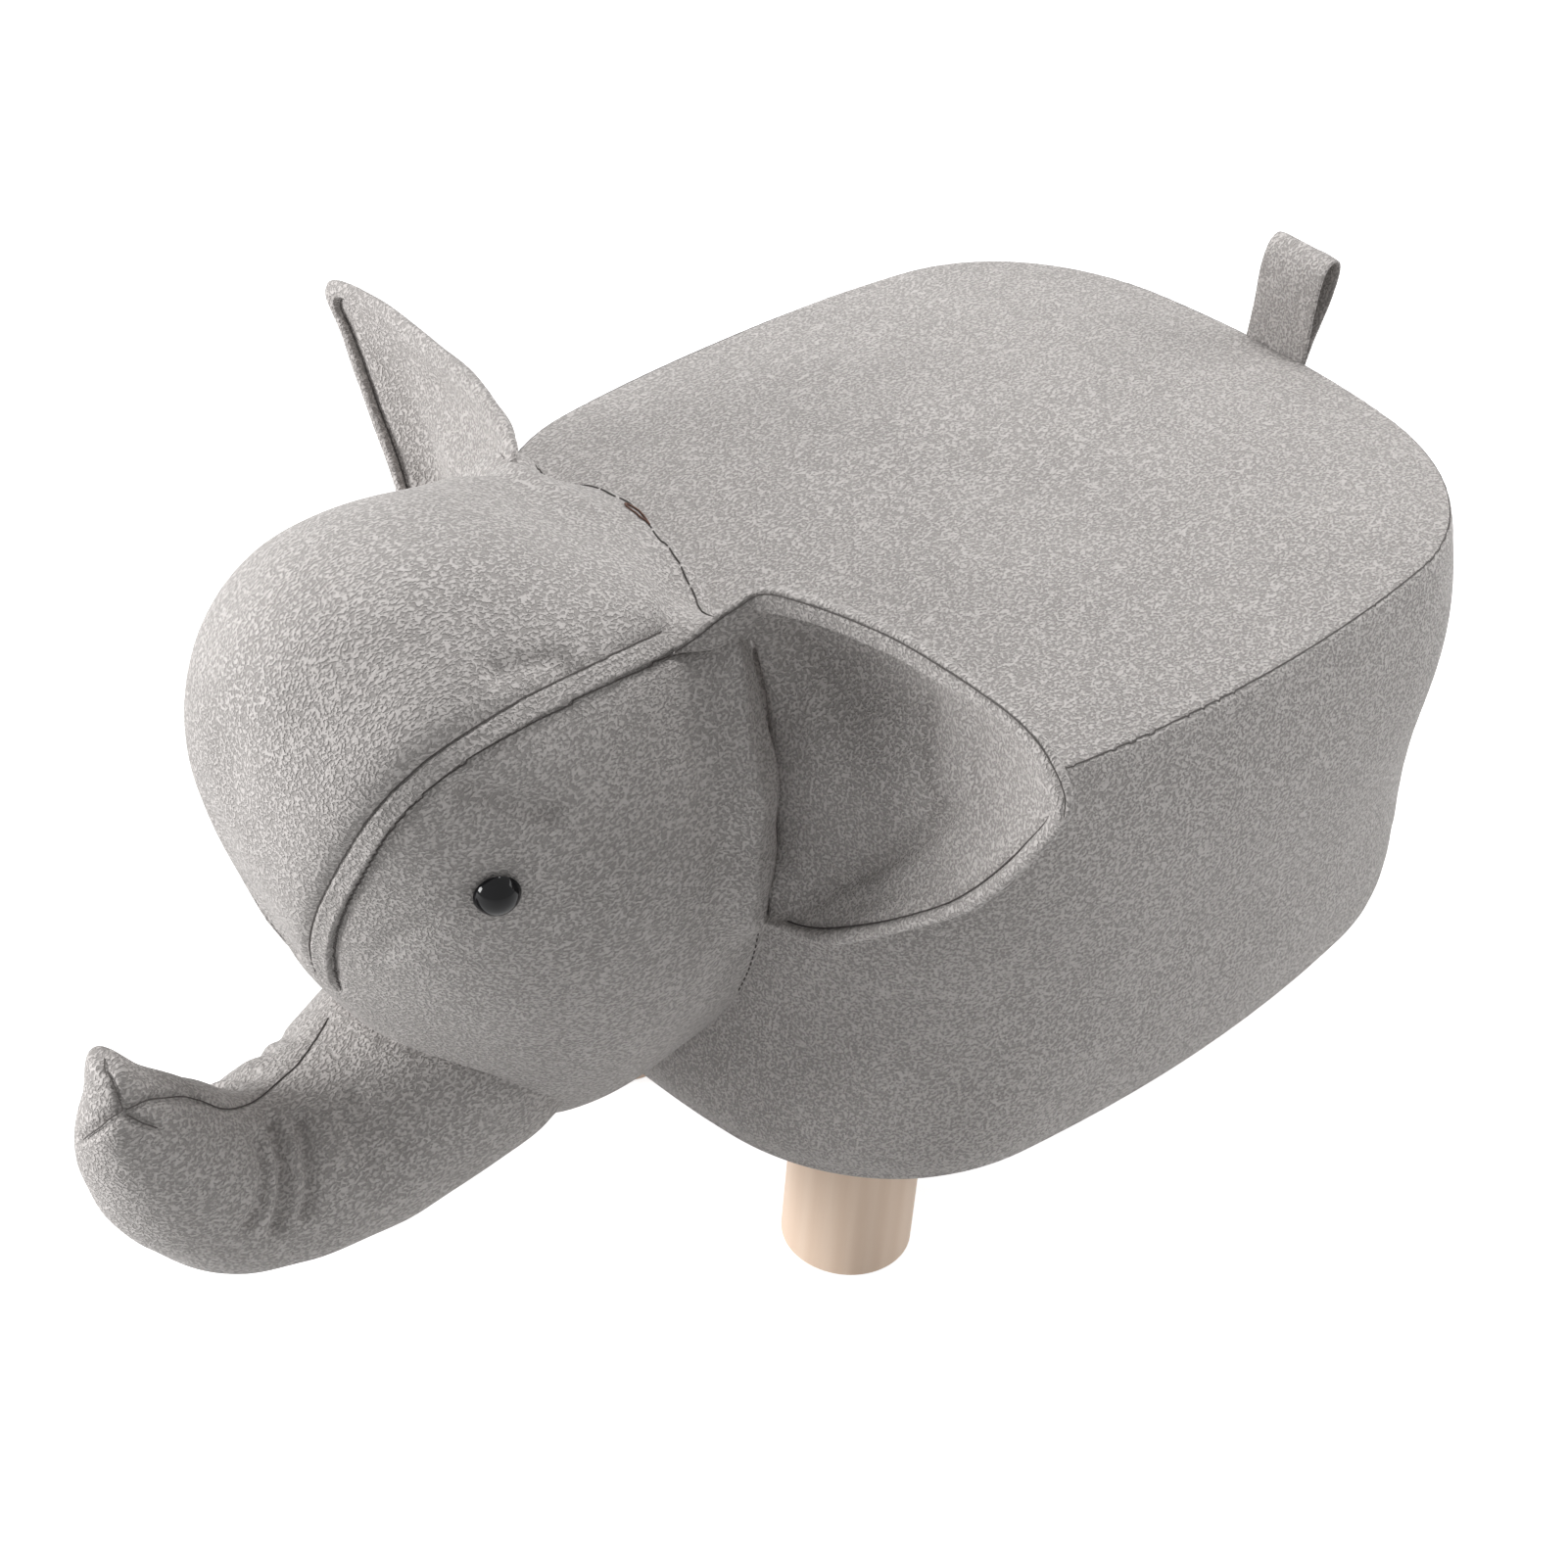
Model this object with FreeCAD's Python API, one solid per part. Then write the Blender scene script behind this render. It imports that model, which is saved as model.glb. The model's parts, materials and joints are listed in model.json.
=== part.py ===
"""Child's elephant footstool: a padded box on wooden legs, with a stuffed head, trunk, ears and tail loop.

Millimetres. +X is forward (the trunk), +Y is the animal's left, +Z is up and the floor is Z = 0.
The pieces are laid out about the middle of the seat, then moved so that the origin is the middle of the
underside of the whole object's box.
"""
import FreeCAD, Part
import math
import os

Vector = FreeCAD.Vector

# Seat block, measured at the sewn edge of the seat
seat_length = 360.0
seat_width = 294.0
end_bow_radius = 384.0
side_bow_radius = 706.0
corner_radius = 95.0
body_height = 190.0
wall_bulge = 8.4
edge_tuck = 2.0
seat_crown = 7.0

# Legs and what holds them
leg_height = 90.0
leg_diameter = 53.0
leg_chamfer = 2.5
leg_front_setback = 67.0
leg_rear_setback = 74.0
leg_front_side_setback = 75.0
leg_rear_side_setback = 89.0
felt_thickness = 2.0
felt_diameter = 40.0
bolt_diameter = 8.0
bolt_length = 48.0
bolt_depth_in_leg = 28.0
tee_nut_flange_diameter = 22.0
tee_nut_flange_thickness = 1.5
tee_nut_barrel_diameter = 11.0
tee_nut_barrel_length = 9.0

# Boards, posts and screws
base_board_thickness = 12.0
top_board_thickness = 12.0
post_size = 32.0
post_setback = 7.5
post_screw_spacing = 16.0
wall_band_thickness = 3.0
screw_diameter = 4.0
screw_length = 40.0
screw_head_diameter = 8.0
screw_head_height = 3.0

# Cloth and padding
cover_thickness = 1.5
side_foam_thickness = 12.0
seat_foam_thickness = 32.0
hem_width = 32.0
dust_cover_thickness = 0.8
dust_cover_inset = 14.0
staple_inset = 23.0
staple_width = 11.0
staple_wire = 0.8
staple_depth = 6.0
staples_per_side = 4

# Head, trunk, eyes and ears are placed in front of the seat's front edge and above the block's underside.
# Head, by upright slices: distance, top, widest height, bottom, half width.
head_slices = (
    (-8.0, 244.0, 138.0, 2.0, 75.0),
    (31.0, 268.0, 150.0, 2.0, 83.0),
    (63.0, 282.0, 162.0, 14.0, 84.0),
    (95.0, 290.0, 178.0, 50.0, 79.0),
    (122.0, 290.0, 197.0, 87.0, 68.0),
    (146.0, 282.0, 208.0, 127.0, 51.0),
    (164.0, 265.0, 219.0, 168.0, 31.0),
    (173.0, 243.0, 224.0, 203.0, 13.0),
)
head_back_distance = -1.0
head_top_round = 0.95
head_chin_round = 0.75
gusset_rear_distance = -21.0
gusset_rear_half_width = 50.0
gusset_middle_distance = 95.0
gusset_middle_half_width = 57.0
gusset_front_half_width = 30.0
brow_height = 126.0

# Trunk, by slices across its middle line: distance, height, slope in degrees, half height, half width
trunk_slices = (
    (60.0, 62.0, -25.0, 44.0, 38.0),
    (97.0, 49.0, -22.0, 49.0, 44.0),
    (129.0, 41.0, -8.0, 43.0, 40.0),
    (158.0, 40.0, 10.0, 39.0, 37.0),
    (186.0, 52.0, 36.0, 33.5, 31.5),
    (205.0, 76.0, 60.0, 27.5, 26.0),
    (217.0, 101.0, 72.0, 21.0, 19.5),
    (223.0, 124.0, 80.0, 8.0, 11.0),
    (224.5, 132.0, 80.0, 3.0, 7.0),
)
trunk_round = 0.96
trunk_tip_wall_share = 0.6

# Eyes
eye_distance = 118.0
eye_height = 191.0
eye_diameter = 16.0
eye_dome_height = 6.0
eye_shank_diameter = 5.0
eye_shank_length = 12.0
eye_washer_diameter = 14.0
eye_washer_thickness = 1.5
eye_washer_depth = 3.4

# Left ear, by chords from its top rim to its lower rim, from the sewn root to the tip.
# Each chord: top point, lower point, how far its middle is dished back.
ear_chords = (
    ((7.0, 66.0, 246.0), (7.0, 83.0, 129.0), 0.0),
    ((4.0, 77.0, 262.0), (4.0, 101.0, 132.0), 4.0),
    ((1.0, 95.0, 267.0), (-3.0, 126.0, 149.0), 8.0),
    ((-6.0, 121.0, 262.0), (-14.0, 151.0, 167.0), 8.0),
    ((-12.0, 148.0, 255.0), (-18.0, 171.0, 192.0), 5.0),
    ((-14.0, 173.0, 252.0), (-18.0, 187.0, 213.0), 3.0),
    ((-13.0, 187.0, 252.0), (-16.0, 192.0, 235.0), 1.0),
)
ear_layer_thickness = 2.8
ear_layer_gap = 0.1
ear_roll_radius = 3.2

# Tail loop, a folded strap
tail_height = 47.0
tail_depth = 16.0
tail_strap_thickness = 2.2
tail_strap_width = 33.0
tail_root_radius = 2.6
tail_opening_rise = 6.6
tail_lean = 8.0

# Clearances, and the size of a cutting box, larger than the whole object
sewn_gap = 0.3
hole_gap = 0.2
filling_gap = 0.15
ear_start_gap = 10.0
cut_reach = 2000.0

# Levels and places worked out from the sizes above
seat_front = seat_length / 2
head_back = seat_front + head_back_distance
body_bottom = leg_height
seam_height = body_bottom + body_height
base_board_bottom = body_bottom + cover_thickness
base_board_top = base_board_bottom + base_board_thickness
top_board_top = seam_height - seat_foam_thickness
top_board_bottom = top_board_top - top_board_thickness
wall_inset = cover_thickness + side_foam_thickness
board_inset = wall_inset + wall_band_thickness
dust_cover_bottom = body_bottom - dust_cover_thickness
post_inset = board_inset + post_setback + post_size / 2
up = Vector(0, 0, 1)


def arc(start, middle, end):
    """An arc through three points."""
    return Part.Arc(start, middle, end).toShape()


def loft(wires):
    """A smooth solid through closed wires."""
    return Part.makeLoft(wires, True, False)


def cylinder(diameter, bottom, top, x=0.0, y=0.0):
    """An upright cylinder between two heights."""
    return Part.makeCylinder(diameter / 2, top - bottom, Vector(x, y, bottom), up)


def corner_middle():
    """The centre of the corner arc, which touches the end arc and the side arc from inside."""
    end_centre = seat_length / 2 - end_bow_radius
    side_centre = seat_width / 2 - side_bow_radius
    reach_end = end_bow_radius - corner_radius
    reach_side = side_bow_radius - corner_radius
    span = math.hypot(end_centre, side_centre)
    along = (reach_end ** 2 - reach_side ** 2 + span ** 2) / (2 * span)
    off = math.sqrt(reach_end ** 2 - along ** 2)
    to_side_x, to_side_y = -end_centre / span, side_centre / span
    across = along * to_side_y + off * to_side_x
    return Vector(end_centre + along * to_side_x - off * to_side_y, across, 0)


def outline(offset, height):
    """The seat's outline of eight arcs, grown or shrunk by an offset, at a height."""
    corner = corner_middle()
    end_centre = Vector(seat_length / 2 - end_bow_radius, 0, 0)
    side_centre = Vector(0, seat_width / 2 - side_bow_radius, 0)
    end_way = (corner - end_centre).normalize()
    side_way = (corner - side_centre).normalize()
    radius = corner_radius + offset
    at_end = corner + end_way * radius
    at_side = corner + side_way * radius
    at_corner = corner + (end_way + side_way).normalize() * radius
    quarter = (at_end, at_corner, at_side)

    def at(point, turn_x, turn_y):
        return Vector(point.x * turn_x, point.y * turn_y, height)

    end_tip = Vector(seat_length / 2 + offset, 0, 0)
    side_tip = Vector(0, seat_width / 2 + offset, 0)
    edges = []
    for turn_x, turn_y in ((1, 1), (-1, 1), (-1, -1), (1, -1)):
        first, middle, last = (at(point, turn_x, turn_y) for point in quarter)
        forward = turn_x == turn_y
        edges.append(arc(first, middle, last) if forward else arc(last, middle, first))
        if forward:
            edges.append(arc(last, at(side_tip, 1, turn_y), at(at_side, -turn_x, turn_y)))
        else:
            edges.append(arc(first, at(end_tip, turn_x, 1), at(at_end, turn_x, -turn_y)))
    return Part.Wire(edges)


def slab(offset, bottom, top):
    """A flat plate with the seat's outline."""
    return Part.Face(outline(offset, bottom)).extrude(Vector(0, 0, top - bottom))


def body_solid(inset):
    """The padded block's whole form, inside its outer face by an inset: bulged walls and a crowned seat."""
    low = body_bottom + inset
    rise = seam_height - inset - low
    walls = ((0.0, -edge_tuck), (0.035, 0.35 * wall_bulge), (0.25, 0.75 * wall_bulge), (0.65, wall_bulge),
             (0.88, 0.65 * wall_bulge), (1.0, 0.0))
    block = loft([outline(offset - inset, low + share * rise) for share, offset in walls])
    crown = ((0.0, 0.0), (0.2, 0.4), (0.4, 0.7), (0.6, 0.88), (0.8, 1.0))
    top = loft([outline(-step * corner_radius - inset, low + rise + share * seat_crown)
                for step, share in crown])
    return block.fuse(top)


def egg_wire(place, half_width, rise, drop, top_round, low_round):
    """A closed slice of six arcs, widest at its waist; the rounds of its ends are shares of an ellipse's."""
    def quarter(height, share):
        end_radius = share * half_width ** 2 / height
        reach = (half_width ** 2 + height ** 2 - 2 * height * end_radius) / (2 * (half_width - end_radius))
        centre = half_width - reach
        turn = math.atan2(height - end_radius, -centre)
        if reach < end_radius:
            turn = math.atan2(end_radius - height, centre)
        end = (centre + math.cos(turn) * reach, math.sin(turn) * reach)
        return end, (centre + math.cos(turn / 2) * reach, math.sin(turn / 2) * reach)

    top_end, top_middle = quarter(rise, top_round)
    low_end, low_middle = quarter(drop, low_round)
    right, left = place(half_width, 0), place(-half_width, 0)
    top_right, top_left = place(*top_end), place(-top_end[0], top_end[1])
    low_right, low_left = place(low_end[0], -low_end[1]), place(-low_end[0], -low_end[1])
    return Part.Wire([
        arc(right, place(*top_middle), top_right),
        arc(top_right, place(0, rise), top_left),
        arc(top_left, place(-top_middle[0], top_middle[1]), left),
        arc(left, place(-low_middle[0], -low_middle[1]), low_left),
        arc(low_left, place(0, -drop), low_right),
        arc(low_right, place(low_middle[0], -low_middle[1]), right)])


def head_solid(inset):
    """The stuffed head's whole form, inside its outer face by an inset."""
    wires = []
    for distance, top, waist, bottom, half_width in head_slices:
        def place(across, height, x=seat_front + distance - inset, z=body_bottom + waist):
            return Vector(x, across, z + height)
        wires.append(egg_wire(place, half_width - inset, top - waist - inset, waist - bottom - inset,
                              head_top_round, head_chin_round))
    return loft(wires)


def trunk_solid(inset):
    """The curled trunk's whole form, inside its outer face by an inset."""
    wires = []
    last = len(trunk_slices) - 1
    for index, (distance, middle, slope, half_height, half_width) in enumerate(trunk_slices):
        turn = math.radians(slope)
        back = inset if index == last else 0.0
        start = Vector(seat_front + distance, 0, body_bottom + middle)
        start = start - Vector(back * math.cos(turn), 0, back * math.sin(turn))

        def place(across, height, start=start, turn=turn):
            return start + Vector(-math.sin(turn) * height, across, math.cos(turn) * height)
        thin = trunk_tip_wall_share * inset if index == last else inset
        wires.append(egg_wire(place, half_width - thin, half_height - thin, half_height - thin,
                              trunk_round, trunk_round))
    return loft(wires)


def ear_chord(index):
    """The top and lower point of one chord of the left ear, and its dish."""
    edge = Vector(seat_front, 0, body_bottom)
    top, low, dish = ear_chords[index]
    return edge + Vector(*top), edge + Vector(*low), dish


def ear_layer(front, back):
    """A dished sheet of the left ear, between two distances in front of its middle surface."""
    wires = []
    for index in range(len(ear_chords)):
        top, low, dish = ear_chord(index)
        middle = (top + low) * 0.5 - Vector(dish, 0, 0)
        edges = []
        for side in (Vector(front, 0, 0), Vector(back, 0, 0)):
            straight = Part.makeLine(low + side, top + side)
            edges.append(arc(low + side, middle + side, top + side) if dish else straight)
        edges.append(Part.makeLine(top + Vector(front, 0, 0), top + Vector(back, 0, 0)))
        edges.append(Part.makeLine(low + Vector(front, 0, 0), low + Vector(back, 0, 0)))
        wires.append(Part.Wire(Part.sortEdges(edges)[0]))
    return loft(wires)


def mirrored(shape):
    """The same piece on the animal's right side."""
    return shape.mirror(Vector(0, 0, 0), Vector(0, 1, 0))


def teardrop(low_radius, low_height, high_radius, high_height):
    """A flat outline around a small circle and a larger one above it, in the XZ plane."""
    tilt = math.asin((high_radius - low_radius) / (high_height - low_height))
    side, lift = math.cos(tilt), math.sin(tilt)

    def point(x, z):
        return Vector(x, 0, z)
    low_right = point(low_radius * side, low_height - low_radius * lift)
    high_right = point(high_radius * side, high_height - high_radius * lift)
    low_left, high_left = point(-low_right.x, low_right.z), point(-high_right.x, high_right.z)
    crest = point(0, high_height + high_radius)
    shoulder_x = high_radius * math.cos(math.pi / 4 - tilt / 2)
    shoulder_z = high_height + high_radius * math.sin(math.pi / 4 - tilt / 2)
    return Part.Wire([
        Part.makeLine(low_right, high_right),
        arc(high_right, point(shoulder_x, shoulder_z), crest),
        arc(crest, point(-shoulder_x, shoulder_z), high_left),
        Part.makeLine(high_left, low_left),
        arc(low_left, point(0, low_height - low_radius), low_right)])


def leg_places():
    """Name and place of each leg; the rear pair stands closer together."""
    for end, x, side_setback in (("front", seat_front - leg_front_setback, leg_front_side_setback),
                                 ("rear", leg_rear_setback - seat_front, leg_rear_side_setback)):
        across = seat_width / 2 - side_setback
        for side, turn in (("left", 1), ("right", -1)):
            yield f"{end}_{side}", x, turn * across


def post_places():
    """Name and place of each post, at the middle of each wall."""
    along, across = seat_length / 2 - post_inset, seat_width / 2 - post_inset
    return {"front": (along, 0), "rear": (-along, 0), "left": (0, across), "right": (0, -across)}


def cutting_box(x, y, z):
    """A box larger than the whole object, from its lowest corner."""
    return Part.makeBox(cut_reach, cut_reach, cut_reach, Vector(x, y, z))


def above(height):
    """All space above a height."""
    return cutting_box(-cut_reach / 2, -cut_reach / 2, height)


def behind(distance):
    """All space behind an upright plane across the seat."""
    return cutting_box(distance - cut_reach, -cut_reach / 2, -cut_reach / 2)


def wood_screw(x, y, head_end, way):
    """A countersunk screw whose head is flush with a board's face; way is 1 up or -1 down."""
    along = Vector(0, 0, way)
    start = Vector(x, y, head_end)
    head = Part.makeCone(screw_head_diameter / 2, screw_diameter / 2, screw_head_height, start, along)
    return head.fuse(Part.makeCylinder(screw_diameter / 2, screw_length, start, along))


def make_staples():
    """Staples round the dust cover: a crown below it and two prongs up into the base board."""
    count = 4 * staples_per_side
    path = outline(-staple_inset, dust_cover_bottom - staple_wire)
    points = path.discretize(Number=2 * count + 1)
    prong_height = base_board_bottom + staple_depth - dust_cover_bottom + staple_wire
    staples = []
    for index in range(0, 2 * count, 2):
        turn = math.degrees(math.atan2(points[index + 1].y - points[index].y,
                                       points[index + 1].x - points[index].x))
        half = staple_width / 2
        crown = Part.makeBox(staple_width, staple_wire, staple_wire, Vector(-half, -staple_wire / 2, 0))
        prongs = [Part.makeBox(staple_wire, staple_wire, prong_height, Vector(x, -staple_wire / 2, 0))
                  for x in (-half, half - staple_wire)]
        staple = crown.multiFuse(prongs)
        staple.rotate(Vector(0, 0, 0), up, turn)
        staple.translate(points[index])
        staples.append(staple)
    return staples


def make_frame(parts):
    """The boards, posts, wall band, screws, legs, bolts, nuts and felt pads."""
    base = slab(-board_inset, base_board_bottom, base_board_top)
    top = slab(-board_inset, top_board_bottom, top_board_top)
    band = slab(-wall_inset, base_board_bottom, top_board_top).cut(
        slab(-board_inset, base_board_bottom, top_board_top))
    parts["wall_band"] = band
    screws = []
    for side, (x, y) in post_places().items():
        half = post_size / 2
        post = Part.makeBox(post_size, post_size, top_board_bottom - base_board_top,
                            Vector(x - half, y - half, base_board_top))
        for step in (-0.5, 0.5):
            across_x = 0 if y == 0 else step * post_screw_spacing
            across_y = step * post_screw_spacing if y == 0 else 0
            screws.append(wood_screw(x + across_x, y + across_y, base_board_bottom, 1))
            screws.append(wood_screw(x + across_x, y + across_y, top_board_top, -1))
        parts[f"{side}_post"] = post.cut(Part.makeCompound(screws[-4:]))
    parts["post_screws"] = Part.makeCompound(screws)
    base = base.cut(parts["post_screws"])
    parts["top_board"] = top.cut(parts["post_screws"])
    bolts, nuts, felts = [], [], []
    bolt_bottom = base_board_bottom - bolt_depth_in_leg
    nut_top = base_board_top + tee_nut_flange_thickness
    barrel_bottom = base_board_top - tee_nut_barrel_length
    for corner, x, y in leg_places():
        bore = cylinder(bolt_diameter + 2 * hole_gap, bolt_bottom - hole_gap, nut_top + hole_gap, x, y)
        leg = cylinder(leg_diameter, felt_thickness, base_board_bottom, x, y)
        foot_edge = [edge for edge in leg.Edges if edge.BoundBox.ZMax < felt_thickness + leg_chamfer]
        parts[f"leg_{corner}"] = leg.makeChamfer(leg_chamfer, foot_edge).cut(bore)
        bolts.append(cylinder(bolt_diameter, bolt_bottom, bolt_bottom + bolt_length, x, y))
        flange = cylinder(tee_nut_flange_diameter, base_board_top, nut_top, x, y)
        barrel = cylinder(tee_nut_barrel_diameter, barrel_bottom, base_board_top, x, y)
        nuts.append(flange.fuse(barrel).cut(bore))
        felts.append(cylinder(felt_diameter, 0.0, felt_thickness, x, y))
        base = base.cut(barrel).cut(bore)
    parts["leg_bolts"] = Part.makeCompound(bolts)
    parts["leg_tee_nuts"] = Part.makeCompound(nuts)
    parts["felt_pads"] = Part.makeCompound(felts)
    parts["base_board"] = base


def make_padding(parts):
    """The foam, the cover's top panel and side band, the dust cover and its staples."""
    leg_holes = Part.makeCompound([cylinder(leg_diameter + 2 * hole_gap, 0, base_board_bottom, x, y)
                                   for _, x, y in leg_places()])
    staples = Part.makeCompound(make_staples())
    inside = body_solid(cover_thickness)
    cover = body_solid(0.0).cut(inside)
    open_underside = slab(-hem_width, body_bottom - cover_thickness, base_board_bottom)
    cover = cover.cut(open_underside).cut(leg_holes).cut(staples)
    panel_edge = above(seam_height - cover_thickness)
    parts["seat_cover_top"] = cover.common(panel_edge)
    parts["seat_cover_side"] = cover.cut(panel_edge)
    filling = body_solid(cover_thickness + filling_gap)
    padding = filling.cut(slab(-wall_inset, body_bottom, top_board_top))
    parts["seat_foam"] = padding.common(above(top_board_top))
    parts["side_foam"] = padding.cut(above(top_board_top))
    dust = slab(-dust_cover_inset, dust_cover_bottom, body_bottom)
    parts["dust_cover"] = dust.cut(leg_holes).cut(staples)
    parts["dust_cover_staples"] = staples
    parts["base_board"] = parts["base_board"].cut(staples)


def gusset_wedge():
    """The space between the two crown seams, seen from above: widest over the brow, narrow over the trunk."""
    stations = ((gusset_rear_distance, gusset_rear_half_width),
                (gusset_middle_distance, gusset_middle_half_width),
                (head_slices[-1][0] + cover_thickness, gusset_front_half_width))
    left = [Vector(seat_front + distance, half_width, 0) for distance, half_width in stations]
    right = [Vector(point.x, -point.y, 0) for point in reversed(left)]
    return Part.Face(Part.makePolygon(left + right + left[:1])).extrude(up * cut_reach)


def eye_seat(head):
    """The point on the left cheek where the eye sits, and the way it faces."""
    start = Vector(seat_front + eye_distance, 0, body_bottom + eye_height)
    ray = Part.makeLine(start, start + Vector(0, cut_reach, 0))
    point = max((vertex.Point for vertex in head.common(ray).Vertexes), key=lambda spot: spot.y)
    face = min(head.Faces, key=lambda item: item.distToShape(Part.Vertex(point))[0])
    normal = face.normalAt(*face.Surface.parameter(point))
    return point, normal if normal.y > 0 else normal * -1


def make_eye(point, normal):
    """A domed eye with its shank, the hole it needs, and the washer that grips it inside the head."""
    base = point + normal * sewn_gap
    ball_radius = (eye_diameter ** 2 / 4 + eye_dome_height ** 2) / (2 * eye_dome_height)
    ball = Part.makeSphere(ball_radius, base + normal * (eye_dome_height - ball_radius))
    dome = ball.common(Part.makeCylinder(eye_diameter, eye_diameter, base, normal))
    inward = normal * -1
    shank_radius = eye_shank_diameter / 2
    shank = Part.makeCylinder(shank_radius, eye_shank_length, base, inward)
    hole = Part.makeCylinder(shank_radius + hole_gap, eye_shank_length + hole_gap, base, inward)
    washer_start = point + inward * eye_washer_depth
    washer = Part.makeCylinder(eye_washer_diameter / 2, eye_washer_thickness, washer_start, inward)
    return dome.fuse(shank), hole, washer


def make_head(parts):
    """The head's panels and stuffing, the trunk and the eyes."""
    against_body = body_solid(-sewn_gap)
    lining = body_solid(-sewn_gap - cover_thickness).fuse(behind(head_back + cover_thickness))
    head = head_solid(0.0).cut(against_body).cut(behind(head_back))
    hollow = head_solid(cover_thickness).cut(lining)
    stuffing = head_solid(cover_thickness + filling_gap).cut(lining)
    point, normal = eye_seat(head)
    eye, hole, washer = make_eye(point, normal)
    holes = Part.makeCompound([hole, mirrored(hole)])
    washers = Part.makeCompound([washer, mirrored(washer)]).cut(holes)
    parts["left_eye"] = eye
    parts["right_eye"] = mirrored(eye)
    parts["eye_washers"] = washers
    parts["head_stuffing"] = stuffing.cut(holes).cut(Part.makeCompound([washer, mirrored(washer)]))
    shell = head.cut(hollow).cut(holes)
    parts["head_back_panel"] = shell.common(lining)
    face = shell.cut(lining)
    wedge = gusset_wedge()
    strip = face.common(wedge)
    cheeks = face.cut(wedge)
    left_half = cutting_box(-cut_reach / 2, 0, -cut_reach / 2)
    brow = above(body_bottom + brow_height)
    parts["crown_gusset"] = strip.common(brow)
    parts["chin_gusset"] = strip.cut(brow)
    parts["left_cheek"] = cheeks.common(left_half)
    parts["right_cheek"] = cheeks.cut(left_half)
    against_head = head_solid(-sewn_gap)
    parts["trunk_cover"] = trunk_solid(0.0).cut(trunk_solid(cover_thickness)).cut(against_head)
    parts["trunk_stuffing"] = trunk_solid(cover_thickness + filling_gap).cut(against_head)
    return head


def seat_on_cheek(roll, head):
    """How far to move the left ear sideways so that its roll lies at the sewn gap from the cheek."""
    seat = Vector(0, ear_start_gap, 0)
    for _ in range(4):
        gap = roll.translated(seat).distToShape(head)[0]
        seat = seat - Vector(0, gap - sewn_gap, 0)
    return seat


def make_ears(parts, head):
    """Two panels for each ear, the back one with the rolled seam that the ear swings on."""
    top, low, _ = ear_chord(0)
    roll = Part.makeCylinder(ear_roll_radius, (top - low).Length, low, top - low)
    seat = seat_on_cheek(roll, head)
    front = ear_layer(ear_layer_thickness, 0.0).cut(roll)
    back = ear_layer(-ear_layer_gap, -ear_layer_thickness).fuse(roll)
    for name, panel in (("front", front), ("back", back)):
        panel.translate(seat)
        parts[f"left_ear_{name}"] = panel
        parts[f"right_ear_{name}"] = mirrored(panel)
    return low + seat, top + seat


def make_tail(parts):
    """The tail loop, a folded strap that flops about its rolled root in the rear seam."""
    high_radius = tail_depth / 2
    high_middle = tail_height - tail_root_radius - high_radius
    outer = Part.Face(teardrop(tail_root_radius, 0.0, high_radius, high_middle))
    gap_radius = tail_root_radius - tail_strap_thickness
    gap_high_radius = high_radius - tail_strap_thickness
    inner = Part.Face(teardrop(gap_radius, tail_opening_rise, gap_high_radius, high_middle))
    loop = outer.cut(inner).extrude(Vector(0, tail_strap_width, 0))
    loop.translate(Vector(0, -tail_strap_width / 2, 0))
    loop.rotate(Vector(0, 0, 0), Vector(0, 1, 0), -tail_lean)
    root = Vector(-seat_front, 0, seam_height + tail_root_radius + sewn_gap)
    loop.translate(root)
    parts["tail_loop"] = loop
    return root


def tidy(shape):
    """A clean piece: its solids only, alone or as a group."""
    solids = shape.Solids
    return solids[0] if len(solids) == 1 else Part.makeCompound(solids)


def main():
    """Makes every piece, sets the origin and writes one file for each piece."""
    parts = {}
    make_frame(parts)
    make_padding(parts)
    head = make_head(parts)
    ear_low, ear_top = make_ears(parts, head)
    tail_root = make_tail(parts)
    whole = Part.makeCompound(list(parts.values())).optimalBoundingBox(False, False)
    to_origin = Vector(-(whole.XMin + whole.XMax) / 2, 0, -whole.ZMin)
    os.makedirs("parts", exist_ok=True)
    for name, shape in parts.items():
        piece = tidy(shape)
        piece.translate(to_origin)
        piece.exportStep(f"parts/{name}.step")
        print(name, len(piece.Solids), piece.isValid(), round(piece.Volume / 1000, 1))
    print("size", round(whole.XLength, 1), round(whole.YLength, 1), round(whole.ZLength, 1))
    print("seat middle", to_origin, "ear root", ear_low + to_origin, ear_top + to_origin)
    print("tail root", tail_root + to_origin)


main()
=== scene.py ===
# %% [markdown]
# # Dressing a child's elephant footstool
#
# The stool is a padded box on four wooden legs. Its front end carries a stuffed head with a curled trunk,
# two sewn ears and two black button eyes, and a strap at the back makes the tail. The hard parts and the
# overall forms come ready made from the CAD frame. This lesson sews the soft cover over them: each padded
# form starts on the CAD surface, is blown up with cloth physics, and then gets its seams, piping and folds.

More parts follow.
